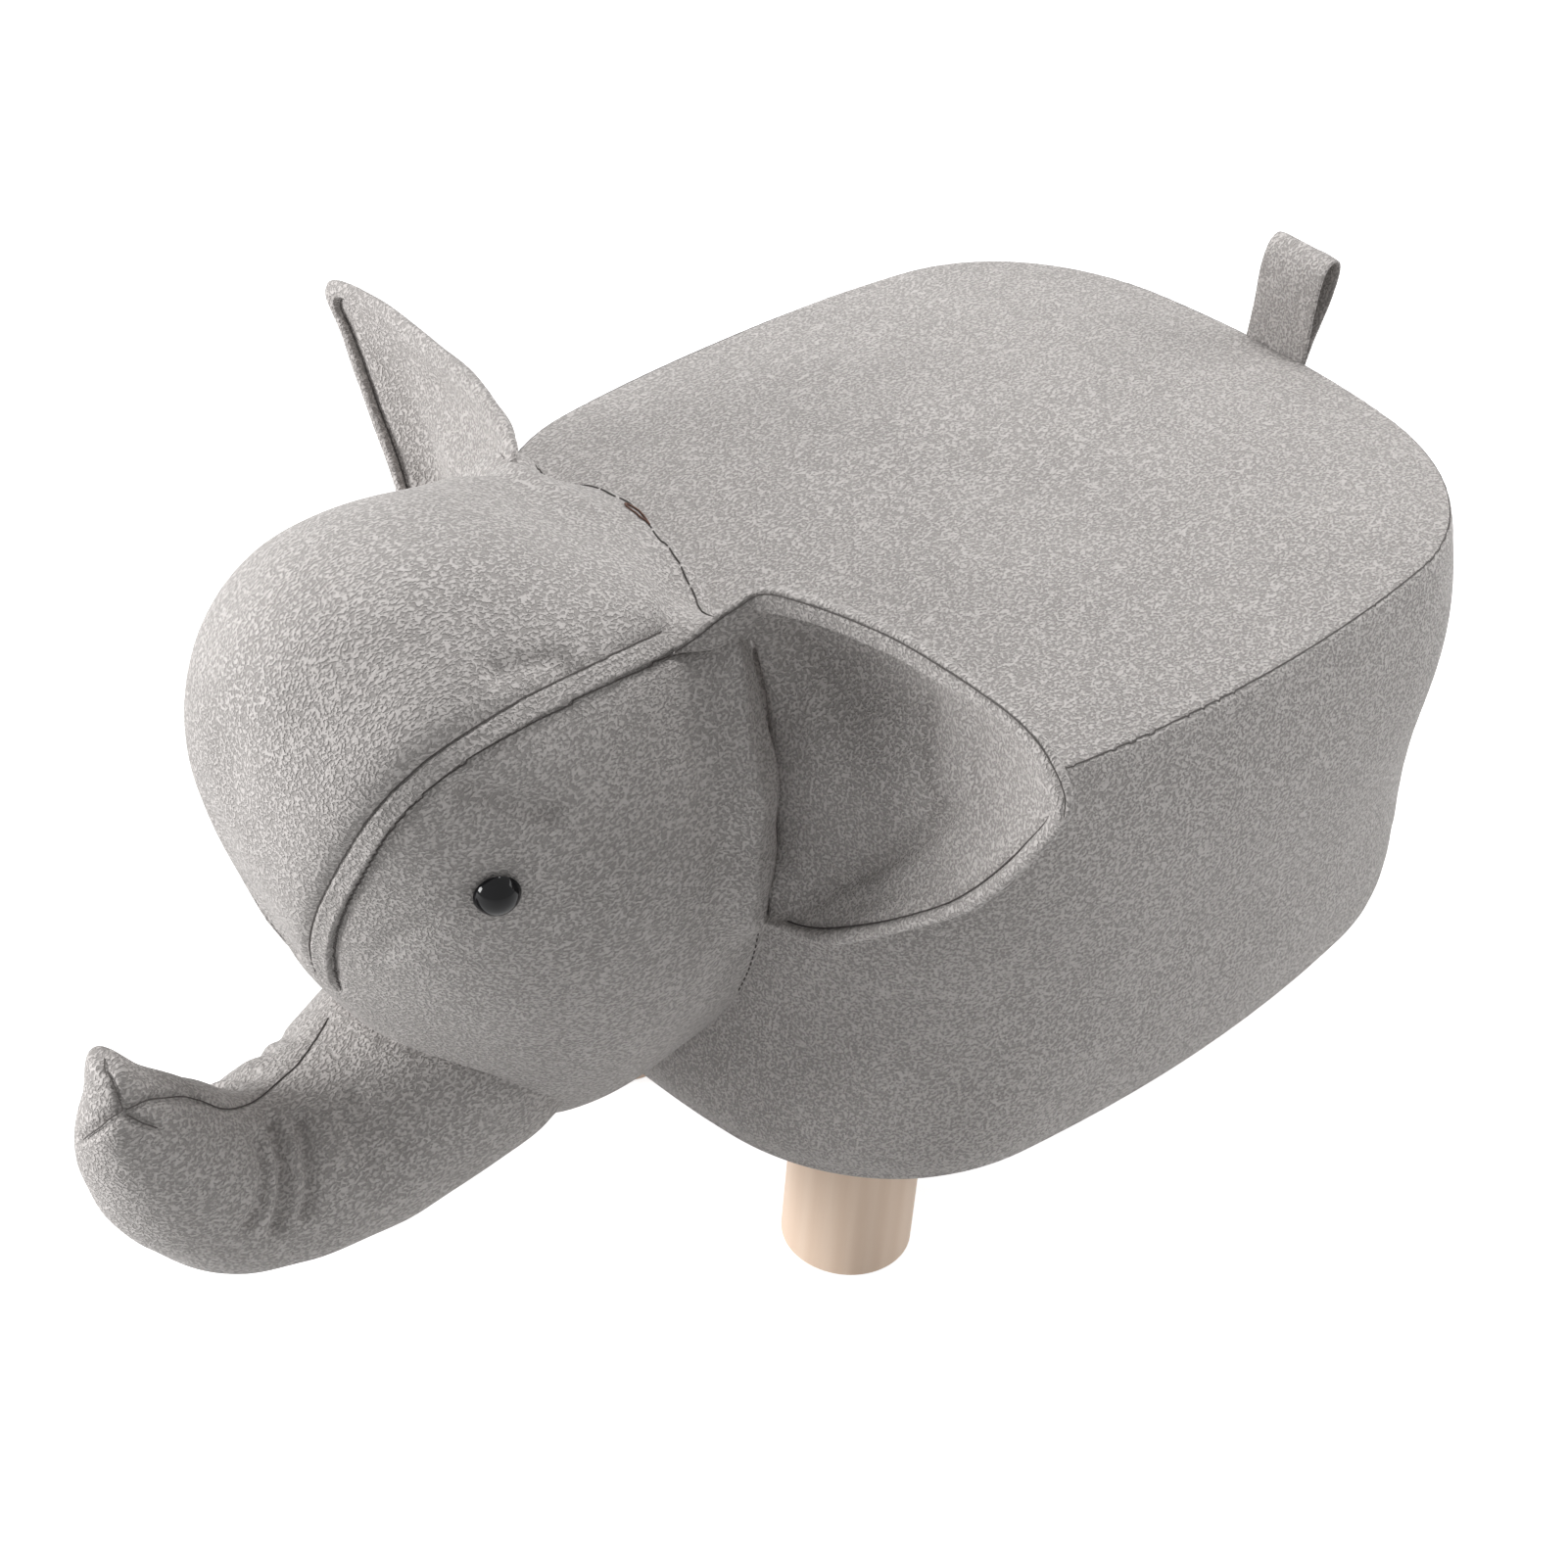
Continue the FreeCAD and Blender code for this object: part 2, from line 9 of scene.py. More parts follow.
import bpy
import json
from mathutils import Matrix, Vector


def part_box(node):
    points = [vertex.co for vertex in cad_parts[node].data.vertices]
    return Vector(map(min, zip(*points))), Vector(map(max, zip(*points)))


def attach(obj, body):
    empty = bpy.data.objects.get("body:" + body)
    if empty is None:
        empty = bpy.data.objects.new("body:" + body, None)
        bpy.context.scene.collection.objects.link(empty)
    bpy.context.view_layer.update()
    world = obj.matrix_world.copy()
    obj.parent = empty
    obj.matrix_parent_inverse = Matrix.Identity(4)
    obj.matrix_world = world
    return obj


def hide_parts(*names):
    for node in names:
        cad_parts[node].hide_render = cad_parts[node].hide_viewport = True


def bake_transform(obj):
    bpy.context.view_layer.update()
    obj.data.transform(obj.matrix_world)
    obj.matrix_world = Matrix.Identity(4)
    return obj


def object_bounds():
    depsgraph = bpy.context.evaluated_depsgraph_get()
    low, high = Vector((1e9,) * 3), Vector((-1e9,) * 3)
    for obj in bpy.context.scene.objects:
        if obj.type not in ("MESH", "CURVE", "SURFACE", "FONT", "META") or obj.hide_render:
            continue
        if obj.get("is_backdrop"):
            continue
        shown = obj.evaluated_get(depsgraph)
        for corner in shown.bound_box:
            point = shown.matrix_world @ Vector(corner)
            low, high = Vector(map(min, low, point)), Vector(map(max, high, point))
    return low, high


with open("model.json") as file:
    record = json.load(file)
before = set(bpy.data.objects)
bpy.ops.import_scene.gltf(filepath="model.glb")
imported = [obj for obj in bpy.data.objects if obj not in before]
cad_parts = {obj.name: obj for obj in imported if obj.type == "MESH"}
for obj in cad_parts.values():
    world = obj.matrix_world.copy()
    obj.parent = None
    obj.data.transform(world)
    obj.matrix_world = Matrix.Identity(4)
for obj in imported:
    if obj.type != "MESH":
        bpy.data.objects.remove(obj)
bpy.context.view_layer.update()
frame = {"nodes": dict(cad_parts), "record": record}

# %% Modules and units
import json
import math

import bmesh
import bpy
import numpy as np
from mathutils import Matrix, Vector, noise
from mathutils.bvhtree import BVHTree
from mathutils.kdtree import KDTree

mm = 0.001

# %% [markdown]
# Points on a soft animal are easiest to read from one fixed place. Here that is the middle of the seat, on
# the floor, in millimetres: forward, to the animal's left, and up. One helper turns them into the frame.

# %% Where things are
seat_low, seat_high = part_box("seat_cover_top")
wall_low, wall_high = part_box("seat_cover_side")
seat_middle = Vector(((seat_low.x + seat_high.x) / 2, 0.0, 0.0))
cover_thickness = 1.5 * mm
seam_height = wall_high.z + cover_thickness


def spot(forward, left, up):
    """A point in the frame from millimetres in front of, left of and above the seat's middle on the floor."""
    return seat_middle + Vector((forward, left, up)) * mm


def spots(points):
    """Several such points as an array."""
    return np.array([spot(*point)[:] for point in points])


def mirrored(points):
    """The same points on the animal's right side."""
    return np.asarray(points) * (1, -1, 1)


print("seat middle", [round(v, 4) for v in seat_middle], "seam height", round(seam_height, 4))

# %% [markdown]
# A sewn line is a smooth curve through a few given points. The helper below passes a curve through
# them and steps along it evenly, so that a thread or a groove has the same spacing all along.


# %% Smooth lines
def with_ends(points):
    """The same points with one more beyond each end, which a curve needs to start and stop."""
    points = np.asarray(points, float)
    return np.vstack([2 * points[0] - points[1], points, 2 * points[-1] - points[-2]])


def curve_between(a, b, c, d, share):
    """A place on the smooth curve from b to c, where a and d are the points before and after them."""
    bend = (2 * a - 5 * b + 4 * c - d) * share ** 2 + (3 * b - a - 3 * c + d) * share ** 3
    return b + 0.5 * ((c - a) * share + bend)


def smooth_line(points, step=1 * mm):
    """Evenly spaced points on a smooth curve through a few points."""
    ends = with_ends(points)
    share = np.linspace(0, 1, 24, endpoint=False)[:, None]
    runs = [curve_between(*four, share) for four in zip(ends, ends[1:], ends[2:], ends[3:])]
    fine = np.vstack(runs + [ends[-2:-1]])
    along = np.concatenate([[0], np.cumsum(np.linalg.norm(np.diff(fine, axis=0), axis=1))])
    even = np.linspace(0, along[-1], max(2, int(along[-1] / step) + 1))
    return np.stack([np.interp(even, along, fine[:, axis]) for axis in range(3)], axis=1)


def blend_table(stations, count):
    """Smoothly fills in rows between a few rows of numbers."""
    ends, runs = with_ends(stations), len(stations) - 1
    rows = []
    for place in np.linspace(0, runs, count):
        first = min(int(place), runs - 1)
        rows.append(curve_between(*ends[first:first + 4], place - first))
    return np.array(rows)


# %% [markdown]
# Each piece is a mesh made from points and faces. These helpers make one, read and write its points as
# arrays, and turn its modifiers into plain mesh, so that later steps can move single points.


# %% Mesh helpers
def new_piece(name, points, faces):
    """A smooth shaded mesh object with its faces turned outward."""
    mesh = bpy.data.meshes.new(name)
    mesh.from_pydata([tuple(point) for point in points], [], faces)
    work = bmesh.new()
    work.from_mesh(mesh)
    bmesh.ops.recalc_face_normals(work, faces=work.faces)
    work.to_mesh(mesh)
    work.free()
    mesh.polygons.foreach_set("use_smooth", [True] * len(mesh.polygons))
    piece = bpy.data.objects.new(name, mesh)
    bpy.context.scene.collection.objects.link(piece)
    return piece


def points_of(piece, what="co"):
    """A piece's points, or their normals, as an array."""
    flat = np.empty(len(piece.data.vertices) * 3)
    piece.data.vertices.foreach_get(what, flat)
    return flat.reshape(-1, 3)


def set_points(piece, points):
    """Moves a piece's points."""
    piece.data.vertices.foreach_set("co", np.asarray(points).ravel())
    piece.data.update()


def apply_modifiers(piece):
    """Keeps what the modifiers show as the piece's own mesh."""
    shown = piece.evaluated_get(bpy.context.evaluated_depsgraph_get())
    mesh = bpy.data.meshes.new_from_object(shown)
    piece.modifiers.clear()
    piece.data = mesh


def subdivide(piece, levels=1):
    """Rounds a piece with a subdivision surface and keeps the result."""
    piece.modifiers.new("round", "SUBSURF").levels = levels
    apply_modifiers(piece)


# %% [markdown]
# The soft covers lie on the CAD solids, so rays are shot at those solids to find where the cover goes. A
# search tree of their faces answers each ray quickly.


# %% Search trees
def tree_of(*nodes):
    """A search tree of the faces of some CAD nodes."""
    points, faces = [], []
    for node in nodes:
        mesh = frame["nodes"][node].data
        first = len(points)
        points += [vertex.co.copy() for vertex in mesh.vertices]
        faces += [[first + index for index in face.vertices] for face in mesh.polygons]
    return BVHTree.FromPolygons(points, faces)


def tree_of_piece(piece):
    """A search tree of a finished piece's faces."""
    return BVHTree.FromPolygons([vertex.co for vertex in piece.data.vertices],
                                [face.vertices[:] for face in piece.data.polygons])


def hull_tree(*nodes):
    """A search tree of the tight skin round some CAD nodes, which closes their holes and gaps."""
    work = bmesh.new()
    for node in nodes:
        for vertex in frame["nodes"][node].data.vertices:
            work.verts.new(vertex.co)
    made = bmesh.ops.convex_hull(work, input=work.verts)
    loose = [item for item in made["geom_interior"] if isinstance(item, bmesh.types.BMVert)]
    bmesh.ops.delete(work, geom=loose, context="VERTS")
    tree = BVHTree.FromBMesh(work)
    work.free()
    return tree


def gap_to_line(points, line):
    """How far each point is from a line."""
    near = KDTree(len(line))
    for index, place in enumerate(line):
        near.insert(place, index)
    near.balance()
    return np.array([near.find(point)[2] for point in points])


# %% [markdown]
# Filling pushes a cover out between its seams, and the seams hold it back. Cloth physics does just that:
# the mesh becomes cloth, the points at the seams are pinned, and air pressure blows up the rest for twenty
# frames. The movement is limited, so that the form stays on its measured outline.

# %% Blow up a cover
puff_frames, puff_pressure = 20, 4.0


def puff(piece, held, most):
    """Blows up a cover with cloth physics; held points stay, and no point moves further than most."""
    start = points_of(piece)
    group = piece.vertex_groups.new(name="held")
    group.add([int(index) for index in np.flatnonzero(held)], 1.0, "REPLACE")
    cloth = piece.modifiers.new("puff", "CLOTH")
    cloth.settings.vertex_group_mass = "held"
    cloth.settings.use_pressure = True
    cloth.settings.uniform_pressure_force = puff_pressure
    cloth.settings.effector_weights.gravity = 0
    cloth.point_cache.frame_end = puff_frames
    for step in range(1, puff_frames + 1):
        bpy.context.scene.frame_set(step)
    apply_modifiers(piece)
    bpy.context.scene.frame_set(1)
    piece.vertex_groups.clear()
    moved = points_of(piece) - start
    far = np.linalg.norm(moved, axis=1, keepdims=True)
    set_points(piece, start + moved * np.minimum(1, most / np.maximum(far, 1e-9)))
    print(piece.name, "puffed by up to", round(float(far.max()) / mm, 1), "mm, kept", most / mm)


def press(piece, line, depth, width):
    """Presses a groove into a piece along a line; a negative depth raises a ridge."""
    points = points_of(piece)
    share = np.exp(-(gap_to_line(points, line) / width) ** 2)
    set_points(piece, points - points_of(piece, "normal") * (depth * share)[:, None])


def ripple(piece, height, length, seed):
    """Gives a cover slow uneven waves, as hand stuffing does."""
    points = points_of(piece)
    wave = [noise.noise(Vector(point) / length + Vector((seed, 0, 0))) for point in points]
    set_points(piece, points + points_of(piece, "normal") * (height * np.array(wave))[:, None])


# %% [markdown]
# Thread is a tube that follows a line. The tube keeps one side up as it goes along, so that it doesn't twist.
# Short tubes in a row make hand stitches. Bands, the trunk and the tail are sleeves of rings in the same way.


# %% Tubes and stitches
def sleeve_faces(rings, sides):
    """Faces of a closed sleeve made of rings of points, with a cap at each end."""
    faces = [(ring * sides + step, ring * sides + (step + 1) % sides,
              (ring + 1) * sides + (step + 1) % sides, (ring + 1) * sides + step)
             for ring in range(rings - 1) for step in range(sides)]
    return faces + [tuple(range(sides)), tuple(range((rings - 1) * sides, rings * sides))]


def tube_mesh(line, radius, sides=8):
    """Points and faces of a closed tube along a line."""
    line = np.asarray(line, float)
    ways = np.gradient(line, axis=0)
    ways /= np.linalg.norm(ways, axis=1, keepdims=True)
    side = np.cross(ways[0], (0.3, 0.5, 0.8))
    points = []
    for place, way in zip(line, ways):
        side = side - way * (side @ way)
        side /= np.linalg.norm(side)
        up = np.cross(way, side)
        for step in range(sides):
            turn = math.tau * step / sides
            points.append(place + radius * (math.cos(turn) * side + math.sin(turn) * up))
    return points, sleeve_faces(len(line), sides)


def thread(name, lines, radius):
    """One piece made of tubes along several lines."""
    points, faces = [], []
    for line in lines:
        more_points, more_faces = tube_mesh(line, radius)
        first = len(points)
        points += more_points
        faces += [tuple(first + index for index in face) for face in more_faces]
    return new_piece(name, points, faces)


def settle(line, tree, lift):
    """Lays a line on a surface, lifted off it by a little."""
    laid = []
    for place in line:
        near, normal, _, _ = tree.find_nearest(Vector(place))
        laid.append(np.array(near + normal * lift))
    return np.array(laid)


def stitch_runs(line, long, apart, arch):
    """Cuts a line into stitches that dip into the cloth at both ends."""
    step = np.linalg.norm(line[1] - line[0])
    take, skip = max(3, round(long / step)), max(1, round(apart / step))
    runs = []
    for first in range(0, len(line) - take, take + skip):
        run = line[first:first + take].copy()
        run[:, 2] += arch * np.sin(np.linspace(0, math.pi, take))
        runs.append(run)
    return runs


# %% [markdown]
# # The seat cover
#
# The seat is a foam block under one flat panel, sewn all round to a side band. A flat panel is best made as
# a square net stretched to the seat's outline, because a net has no pole in the middle. Below the seam, rings
# of the same points run down the wall and under the edge, where the real cloth is stapled.

# %% The seat's net
seat_tree = tree_of("seat_cover_top")
wall_tree = tree_of("seat_cover_side")
net_half, seat_half_width = 28, 150
near_seam = [1 - gap / seat_half_width for gap in (5, 2.4, 1)]
net_levels = np.concatenate([np.linspace(0, near_seam[0], net_half - 2), near_seam[1:], [1]])
net_steps = np.concatenate([-net_levels[:0:-1], net_levels])
net_count = len(net_steps)
far_out = 0.5


def wall_point(turn, height):
    """The outer face of the side band in one direction from the seat's middle."""
    way = Vector((math.cos(turn), math.sin(turn), 0))
    start = seat_middle + way * far_out
    start.z = min(height, wall_high.z - 0.3 * mm)
    return wall_tree.ray_cast(start, -way)[0]


half_degrees = np.linspace(0, math.tau, 721)
outline = np.array([wall_point(turn, seam_height - 2 * mm)[:] for turn in half_degrees])
outline_length = np.concatenate([[0], np.cumsum(np.linalg.norm(np.diff(outline, axis=0), axis=1))])
outline_length /= outline_length[-1]


def on_outline(share):
    """A point of the seat's outline by its share of the way round from the front."""
    share = share % 1.0
    return np.array([np.interp(share, outline_length, outline[:, axis]) for axis in range(2)])


def round_share(a, b):
    """The share of the way round the outline for a point on the edge of the square net."""
    if abs(a) >= abs(b):
        return (b / 8 if a > 0 else 0.5 - b / 8) % 1.0
    return 0.25 - a / 8 if b > 0 else 0.75 + a / 8


print("net", net_count, "x", net_count, "outline", outline.shape)

# %% Points of the seat panel
middle_2d = np.array(seat_middle[:2])
seat_points, net_index = [], {}
for i, a in enumerate(net_steps):
    for j, b in enumerate(net_steps):
        reach = max(abs(a), abs(b))
        flat = middle_2d
        if reach > 0:
            flat = middle_2d + reach * (on_outline(round_share(a / reach, b / reach)) - middle_2d)
        hit = seat_tree.ray_cast(Vector((*flat, 1.0)), Vector((0, 0, -1)))[0]
        height = seam_height if hit is None or reach == 1 else max(hit.z, seam_height)
        net_index[i, j] = len(seat_points)
        seat_points.append((*flat, height))
last = net_count - 1
seat_faces = [(net_index[i, j], net_index[i + 1, j], net_index[i + 1, j + 1], net_index[i, j + 1])
              for i in range(last) for j in range(last)]
seam_ring = ([net_index[last, j] for j in range(last)] + [net_index[i, last] for i in range(last, 0, -1)] +
             [net_index[0, j] for j in range(last, 0, -1)] + [net_index[i, 0] for i in range(last)])
print("seat panel", len(seat_points), "points, seam ring", len(seam_ring))

# %% Rings down the wall and under the edge
wall_drops = np.concatenate([[1.0, 2.4, 4.6, 8.0, 12.0], np.linspace(16.5, 188.5, 39)]) * mm
hem_lip = np.array([(0.3, 1.6), (2, 3.0), (5, 3.4), (10, 2.8), (18, 1.2), (29, 0)]) * mm
seam_points = [seat_points[index] for index in seam_ring]
ring_turns = [math.atan2(y, x - seat_middle.x) for x, y, _ in seam_points]


def add_ring(points, above):
    """Adds a ring of points to the seat, with the faces between it and the ring above."""
    ring = list(range(len(seat_points), len(seat_points) + len(above)))
    seat_points.extend(points)
    seat_faces.extend((above[k], above[k - 1], ring[k - 1], ring[k]) for k in range(len(above)))
    return ring


ring = seam_ring
for drop in wall_drops:
    ring = add_ring([wall_point(turn, seam_height - drop)[:] for turn in ring_turns], ring)
lowest = [seat_points[index] for index in ring]
for inset, droop in hem_lip:
    ring = add_ring([(x - inset * math.cos(turn), y - inset * math.sin(turn), wall_low.z - droop)
                     for (x, y, _), turn in zip(lowest, ring_turns)], ring)
seat_cover = new_piece("seat_cover", seat_points, seat_faces)
print("seat cover", len(seat_points), "points")

# %% [markdown]
# The seam's points and the low edge are held, and the foam fills the rest. The seam is then pressed in as a
# groove with thread in it, and the folded cloth just below it stands out a little.


# %% Fill the seat and sew its seam
def suede_on_stool(*pieces):
    """Says that some pieces move with the stool."""
    for piece in pieces:
        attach(piece, "stool")


seat_fill, held_edge, allowance_drop = 2.5 * mm, 12 * mm, 8 * mm
seat_start = points_of(seat_cover)
seat_held = seat_start[:, 2] < wall_low.z + held_edge
seat_held[seam_ring] = True
puff(seat_cover, seat_held, seat_fill)
subdivide(seat_cover)
ripple(seat_cover, 1.2 * mm, 90 * mm, 3.0)
seam_line = smooth_line(np.array([seat_start[index] for index in seam_ring + seam_ring[:1]]), 1 * mm)
press(seat_cover, seam_line, 1.3 * mm, 1.4 * mm)
press(seat_cover, seam_line - (0, 0, allowance_drop), -0.35 * mm, 3.0 * mm)
seat_surface = tree_of_piece(seat_cover)
seat_seam_thread = thread("seat_seam_thread", [settle(seam_line, seat_surface, 0.0)], 0.3 * mm)
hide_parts("seat_cover_top", "seat_cover_side", "seat_foam", "side_foam")
suede_on_stool(seat_cover, seat_seam_thread)
print("seat seam", len(seam_line), "mm long")

# %% [markdown]
# # The head
#
# The head is sewn from a crown strip and two cheeks, and stuffed hard. A ball would have poles, which pinch
# when they are blown up, so the head starts as a cube of small squares rounded to a ball. Each point is then
# sent out along its own ray to the skin of the CAD head.

# %% A ball of squares
head_cells = 56
head_middle = spot(255, 0, 235)
head_nodes = ("crown_gusset", "chin_gusset", "left_cheek", "right_cheek", "head_back_panel")
head_tree = hull_tree(*head_nodes)
work = bmesh.new()
bmesh.ops.create_cube(work, size=2.0)
bmesh.ops.subdivide_edges(work, edges=work.edges, cuts=head_cells - 1, use_grid_fill=True)
for vertex in work.verts:
    even = Vector([math.tan(math.pi / 4 * value) for value in vertex.co])
    vertex.co = head_tree.ray_cast(head_middle, even.normalized())[0]
head_points = [vertex.co.copy() for vertex in work.verts]
head_faces = [[vertex.index for vertex in face.verts] for face in work.faces]
work.free()
head_cover = new_piece("head_cover", head_points, head_faces)
print("head cover", len(head_points), "points")

# %% [markdown]
# Two seams run from the ears over the brow and meet above the trunk. The crown's edge is folded double there,
# which makes a soft raised band about 7 mm wide, with a tight seam in a shaded groove on its cheek side. The
# bands' lines and the eyes' places are set first, because the cover is held there while the stuffing fills
# it.

# %% The crown bands and the eyes' places
left_band_line = smooth_line(spots([
    (206, 49, 329), (240, 57, 337), (278, 59.5, 338.5), (308, 56.5, 331), (327, 49, 312), (336, 36, 279),
    (333, 22, 246), (322, 10, 214)]))
band_lines = {"left": left_band_line, "right": mirrored(left_band_line)}
eye_spots = {}
for side in band_lines:
    low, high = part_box(f"{side}_eye")
    eye_spots[side] = np.array((low + high) / 2)
band_hold, eye_hold, cover_inset, head_fill = 4.5 * mm, 9 * mm, 0.3 * mm, 3.0 * mm
head_start = points_of(head_cover)
band_gaps = [gap_to_line(head_start, line) for line in band_lines.values()]
eye_gaps = [np.linalg.norm(head_start - place, axis=1) for place in eye_spots.values()]
against_body = head_start[:, 0] < spot(186, 0, 0).x
head_held = (np.minimum(*band_gaps) < band_hold) | (np.minimum(*eye_gaps) < eye_hold) | against_body
set_points(head_cover, head_start - points_of(head_cover, "normal") * cover_inset)
puff(head_cover, head_held, head_fill)
subdivide(head_cover)
rear_start, rear_fade, rear_stretch = spot(190, 0, 0).x, 10 * mm, 4.5 * mm
head_points = points_of(head_cover)
head_points[:, 0] -= rear_stretch * np.clip((rear_start - head_points[:, 0]) / rear_fade, 0, 1)
set_points(head_cover, head_points)
print("head cover", len(head_points), "points after rounding")

# %% [markdown]
# Stuffing fills a wide strip flat across and round beside its seams, because the seams hold it there. A ball
# is too round for that, so the crown is lowered a little along its middle and filled out beside the bands.


# %% Fill out the crown
def ease(share):
    """Zero below 0, one above 1, and smooth between."""
    share = np.clip(share, 0, 1)
    return share * share * (3 - 2 * share)


crown_fill, crown_drop, fullest_at = 4.5 * mm, 5.0 * mm, 0.3
crown_half_width, crown_fade, loose_end = 59 * mm, 28 * mm, 6
band_places = KDTree(len(left_band_line))
for index, place in enumerate(left_band_line):
    band_places.insert(place, index)
band_places.balance()
head_points, head_ways = points_of(head_cover), points_of(head_cover, "normal")
fuller = np.zeros(len(head_points))
for index, (x, y, z) in enumerate(head_points):
    place, nearest, gap = band_places.find((x, abs(y), z))
    if abs(y) < place.y and nearest < len(left_band_line) - loose_end:
        share = gap / (gap + abs(y))
        swell = (share / fullest_at) ** 2 * math.exp(2 - 2 * share / fullest_at)
        wide = min(1, (gap + abs(y)) / crown_half_width)
        fuller[index] = (crown_fill * swell - crown_drop * ease(share)) * wide
fuller *= ease((head_points[:, 0] - rear_start) / crown_fade)
set_points(head_cover, head_points + head_ways * fuller[:, None])
print("crown filled out by up to", round(float(fuller.max()) / mm, 1), "mm")

# %% [markdown]
# The stuffing also pushes the brow seam up and out on the animal's left. Behind the cheeks the cover is sewn
# to the body along an uneven line, so the cheeks are drawn out to meet that line, and a tuck is pressed in
# behind it, where the ear's root goes. The rear edge of the crown is drawn out in the same way.

# %% Lift the brow and draw the cheeks out
brow, brow_reach = band_lines["left"][:130], 22 * mm
brow_rear, brow_fade = spot(192, 0, 0).x, 20 * mm
brow_lift = 6.5 * mm * np.array((0.57, 0.54, 0.62))


def lifted(points):
    """Points moved with the brow, fading away from it and towards the body."""
    share = np.exp(-(gap_to_line(points, brow) / brow_reach) ** 2)
    share *= ease((points[:, 0] - brow_rear) / brow_fade)
    return points + np.outer(share, brow_lift)


set_points(head_cover, lifted(points_of(head_cover)))
band_lines["left"] = lifted(band_lines["left"])


def draw_out(piece, targets, reach):
    """Draws a piece's surface out to some places, and less and less around them."""
    tree, points = tree_of_piece(piece), points_of(piece)
    moves, shares = np.zeros_like(points), np.zeros(len(points))
    for target in targets:
        near, normal, _, _ = tree.find_nearest(Vector(target))
        offset = Vector(target) - near
        if offset.dot(normal) > 0:
            share = np.exp(-(np.linalg.norm(points - np.array(near), axis=1) / reach) ** 2)
            moves += np.outer(share, offset)
            shares += share
    set_points(piece, points + moves / np.maximum(shares, 1)[:, None])


cheek_reach, rear_reach = 10 * mm, 14 * mm
tuck_offset, tuck_depth, tuck_width = np.array((6, 5.2, 5.8)) * mm, 7 * mm, 5 * mm
cheek_edge = smooth_line(spots([
    (187, 66, 330), (187, 71.8, 318.7), (188, 77.8, 300.8), (188, 85, 291.7), (188, 86.7, 284.4),
    (188, 86.7, 275), (188, 84.7, 259.5), (188, 89.4, 252.1), (188, 86.4, 236.4),
    (188, 86.5, 224.8)]), 3 * mm)
cheek_tuck = cheek_edge[2:] - tuck_offset
for edge, tuck in ((cheek_edge, cheek_tuck), (mirrored(cheek_edge), mirrored(cheek_tuck))):
    draw_out(head_cover, edge, cheek_reach)
    press(head_cover, settle(tuck, tree_of_piece(head_cover), 0), tuck_depth, tuck_width)
rear_crown = spots([(184, -57, 333), (186, -45, 340), (186, -30, 343), (186, -12, 343.5)])
draw_out(head_cover, smooth_line(rear_crown, 3 * mm), rear_reach)
print("brow and cheeks shaped,", len(cheek_edge), "places along each cheek's edge")

# %% [markdown]
# Hand stuffing leaves folds beside the bands, and each eye's thread pulls the cheek in. A fold is a line that
# is laid on the surface and pressed in. The right cheek gets the left one's folds, a little softer.

# %% Folds in the head
ripple(head_cover, 1.0 * mm, 55 * mm, 11.0)
head_folds = (
    (((304, 63, 321), (296, 66, 317), (288, 70, 312), (279, 73, 306)), 4.0, 5.0),
    (((283, 50, 350), (272, 51, 349), (262, 52, 347)), 3.2, 4.4),
    (((245, 50, 345), (236, 47, 346)), 1.0, 4.0),
    (((322, 40, 250), (318, 46, 262), (312, 52, 270)), 0.7, 5.0),
)
right_depth, right_width = 0.8, 1.15
for points, depth, width in head_folds:
    line = smooth_line(spots(points))
    head_surface = tree_of_piece(head_cover)
    press(head_cover, settle(lifted(line), head_surface, 0), depth * mm, width * mm)
    right_line = settle(mirrored(line), head_surface, 0)
    press(head_cover, right_line, right_depth * depth * mm, right_width * width * mm)
for place in eye_spots.values():
    press(head_cover, [place], 1.6 * mm, 11 * mm)
brow_dent = smooth_line(spots([(338, -16, 278), (336, -12, 250), (328, -8, 225)]))
press(head_cover, brow_dent, 2.0 * mm, 14 * mm)
rear_swell = smooth_line(spots([(200, -46, 342), (210, -44, 347), (222, -42, 352)]))
press(head_cover, rear_swell, -3.0 * mm, 15 * mm)
head_surface = tree_of_piece(head_cover)
print("folds", len(head_folds), "on each side of the head")

# %% [markdown]
# The bands lie on the finished surface, so they come after the folds. Each is a closed strip of sections,
# which go over its top from cheek to crown and back underneath. It stands higher on the cheek side, and a
# dark tube lies in the groove along both of its edges as painted shade of the grooves.

# %% Piping bands
band_half_width, band_narrowest = 3.6 * mm, 0.4
band_rise = {"cheek": 1.9 * mm, "crown": 0.7 * mm}
band_sink, band_under = 0.5 * mm, 1.6 * mm
band_steps = np.linspace(-1, 1, 13)


def across_band(place, way, side):
    """The nearest point of the head, its outward way, and the way across the band to the crown."""
    near, normal, _, _ = head_surface.find_nearest(Vector(place))
    across = Vector(way).cross(normal).normalized()
    return near, normal, across if side == "left" else -across


def band_section(place, way, side, fade):
    """Points across the band at one place, over its top from cheek to crown and back underneath."""
    near, normal, across = across_band(place, way, side)
    half_width = band_half_width * (band_narrowest + (1 - band_narrowest) * fade)
    over, under = [], []
    for step in band_steps:
        foot = head_surface.find_nearest(near + across * (step * half_width))[0]
        slope = band_rise["cheek"] + (band_rise["crown"] - band_rise["cheek"]) * (step + 1) / 2
        round_off = math.sqrt(max(0.0, 1 - step ** 8))
        over.append(foot + normal * ((slope + band_sink) * round_off * fade - band_sink))
        under.append(foot - normal * band_under)
    return over + under[::-1]


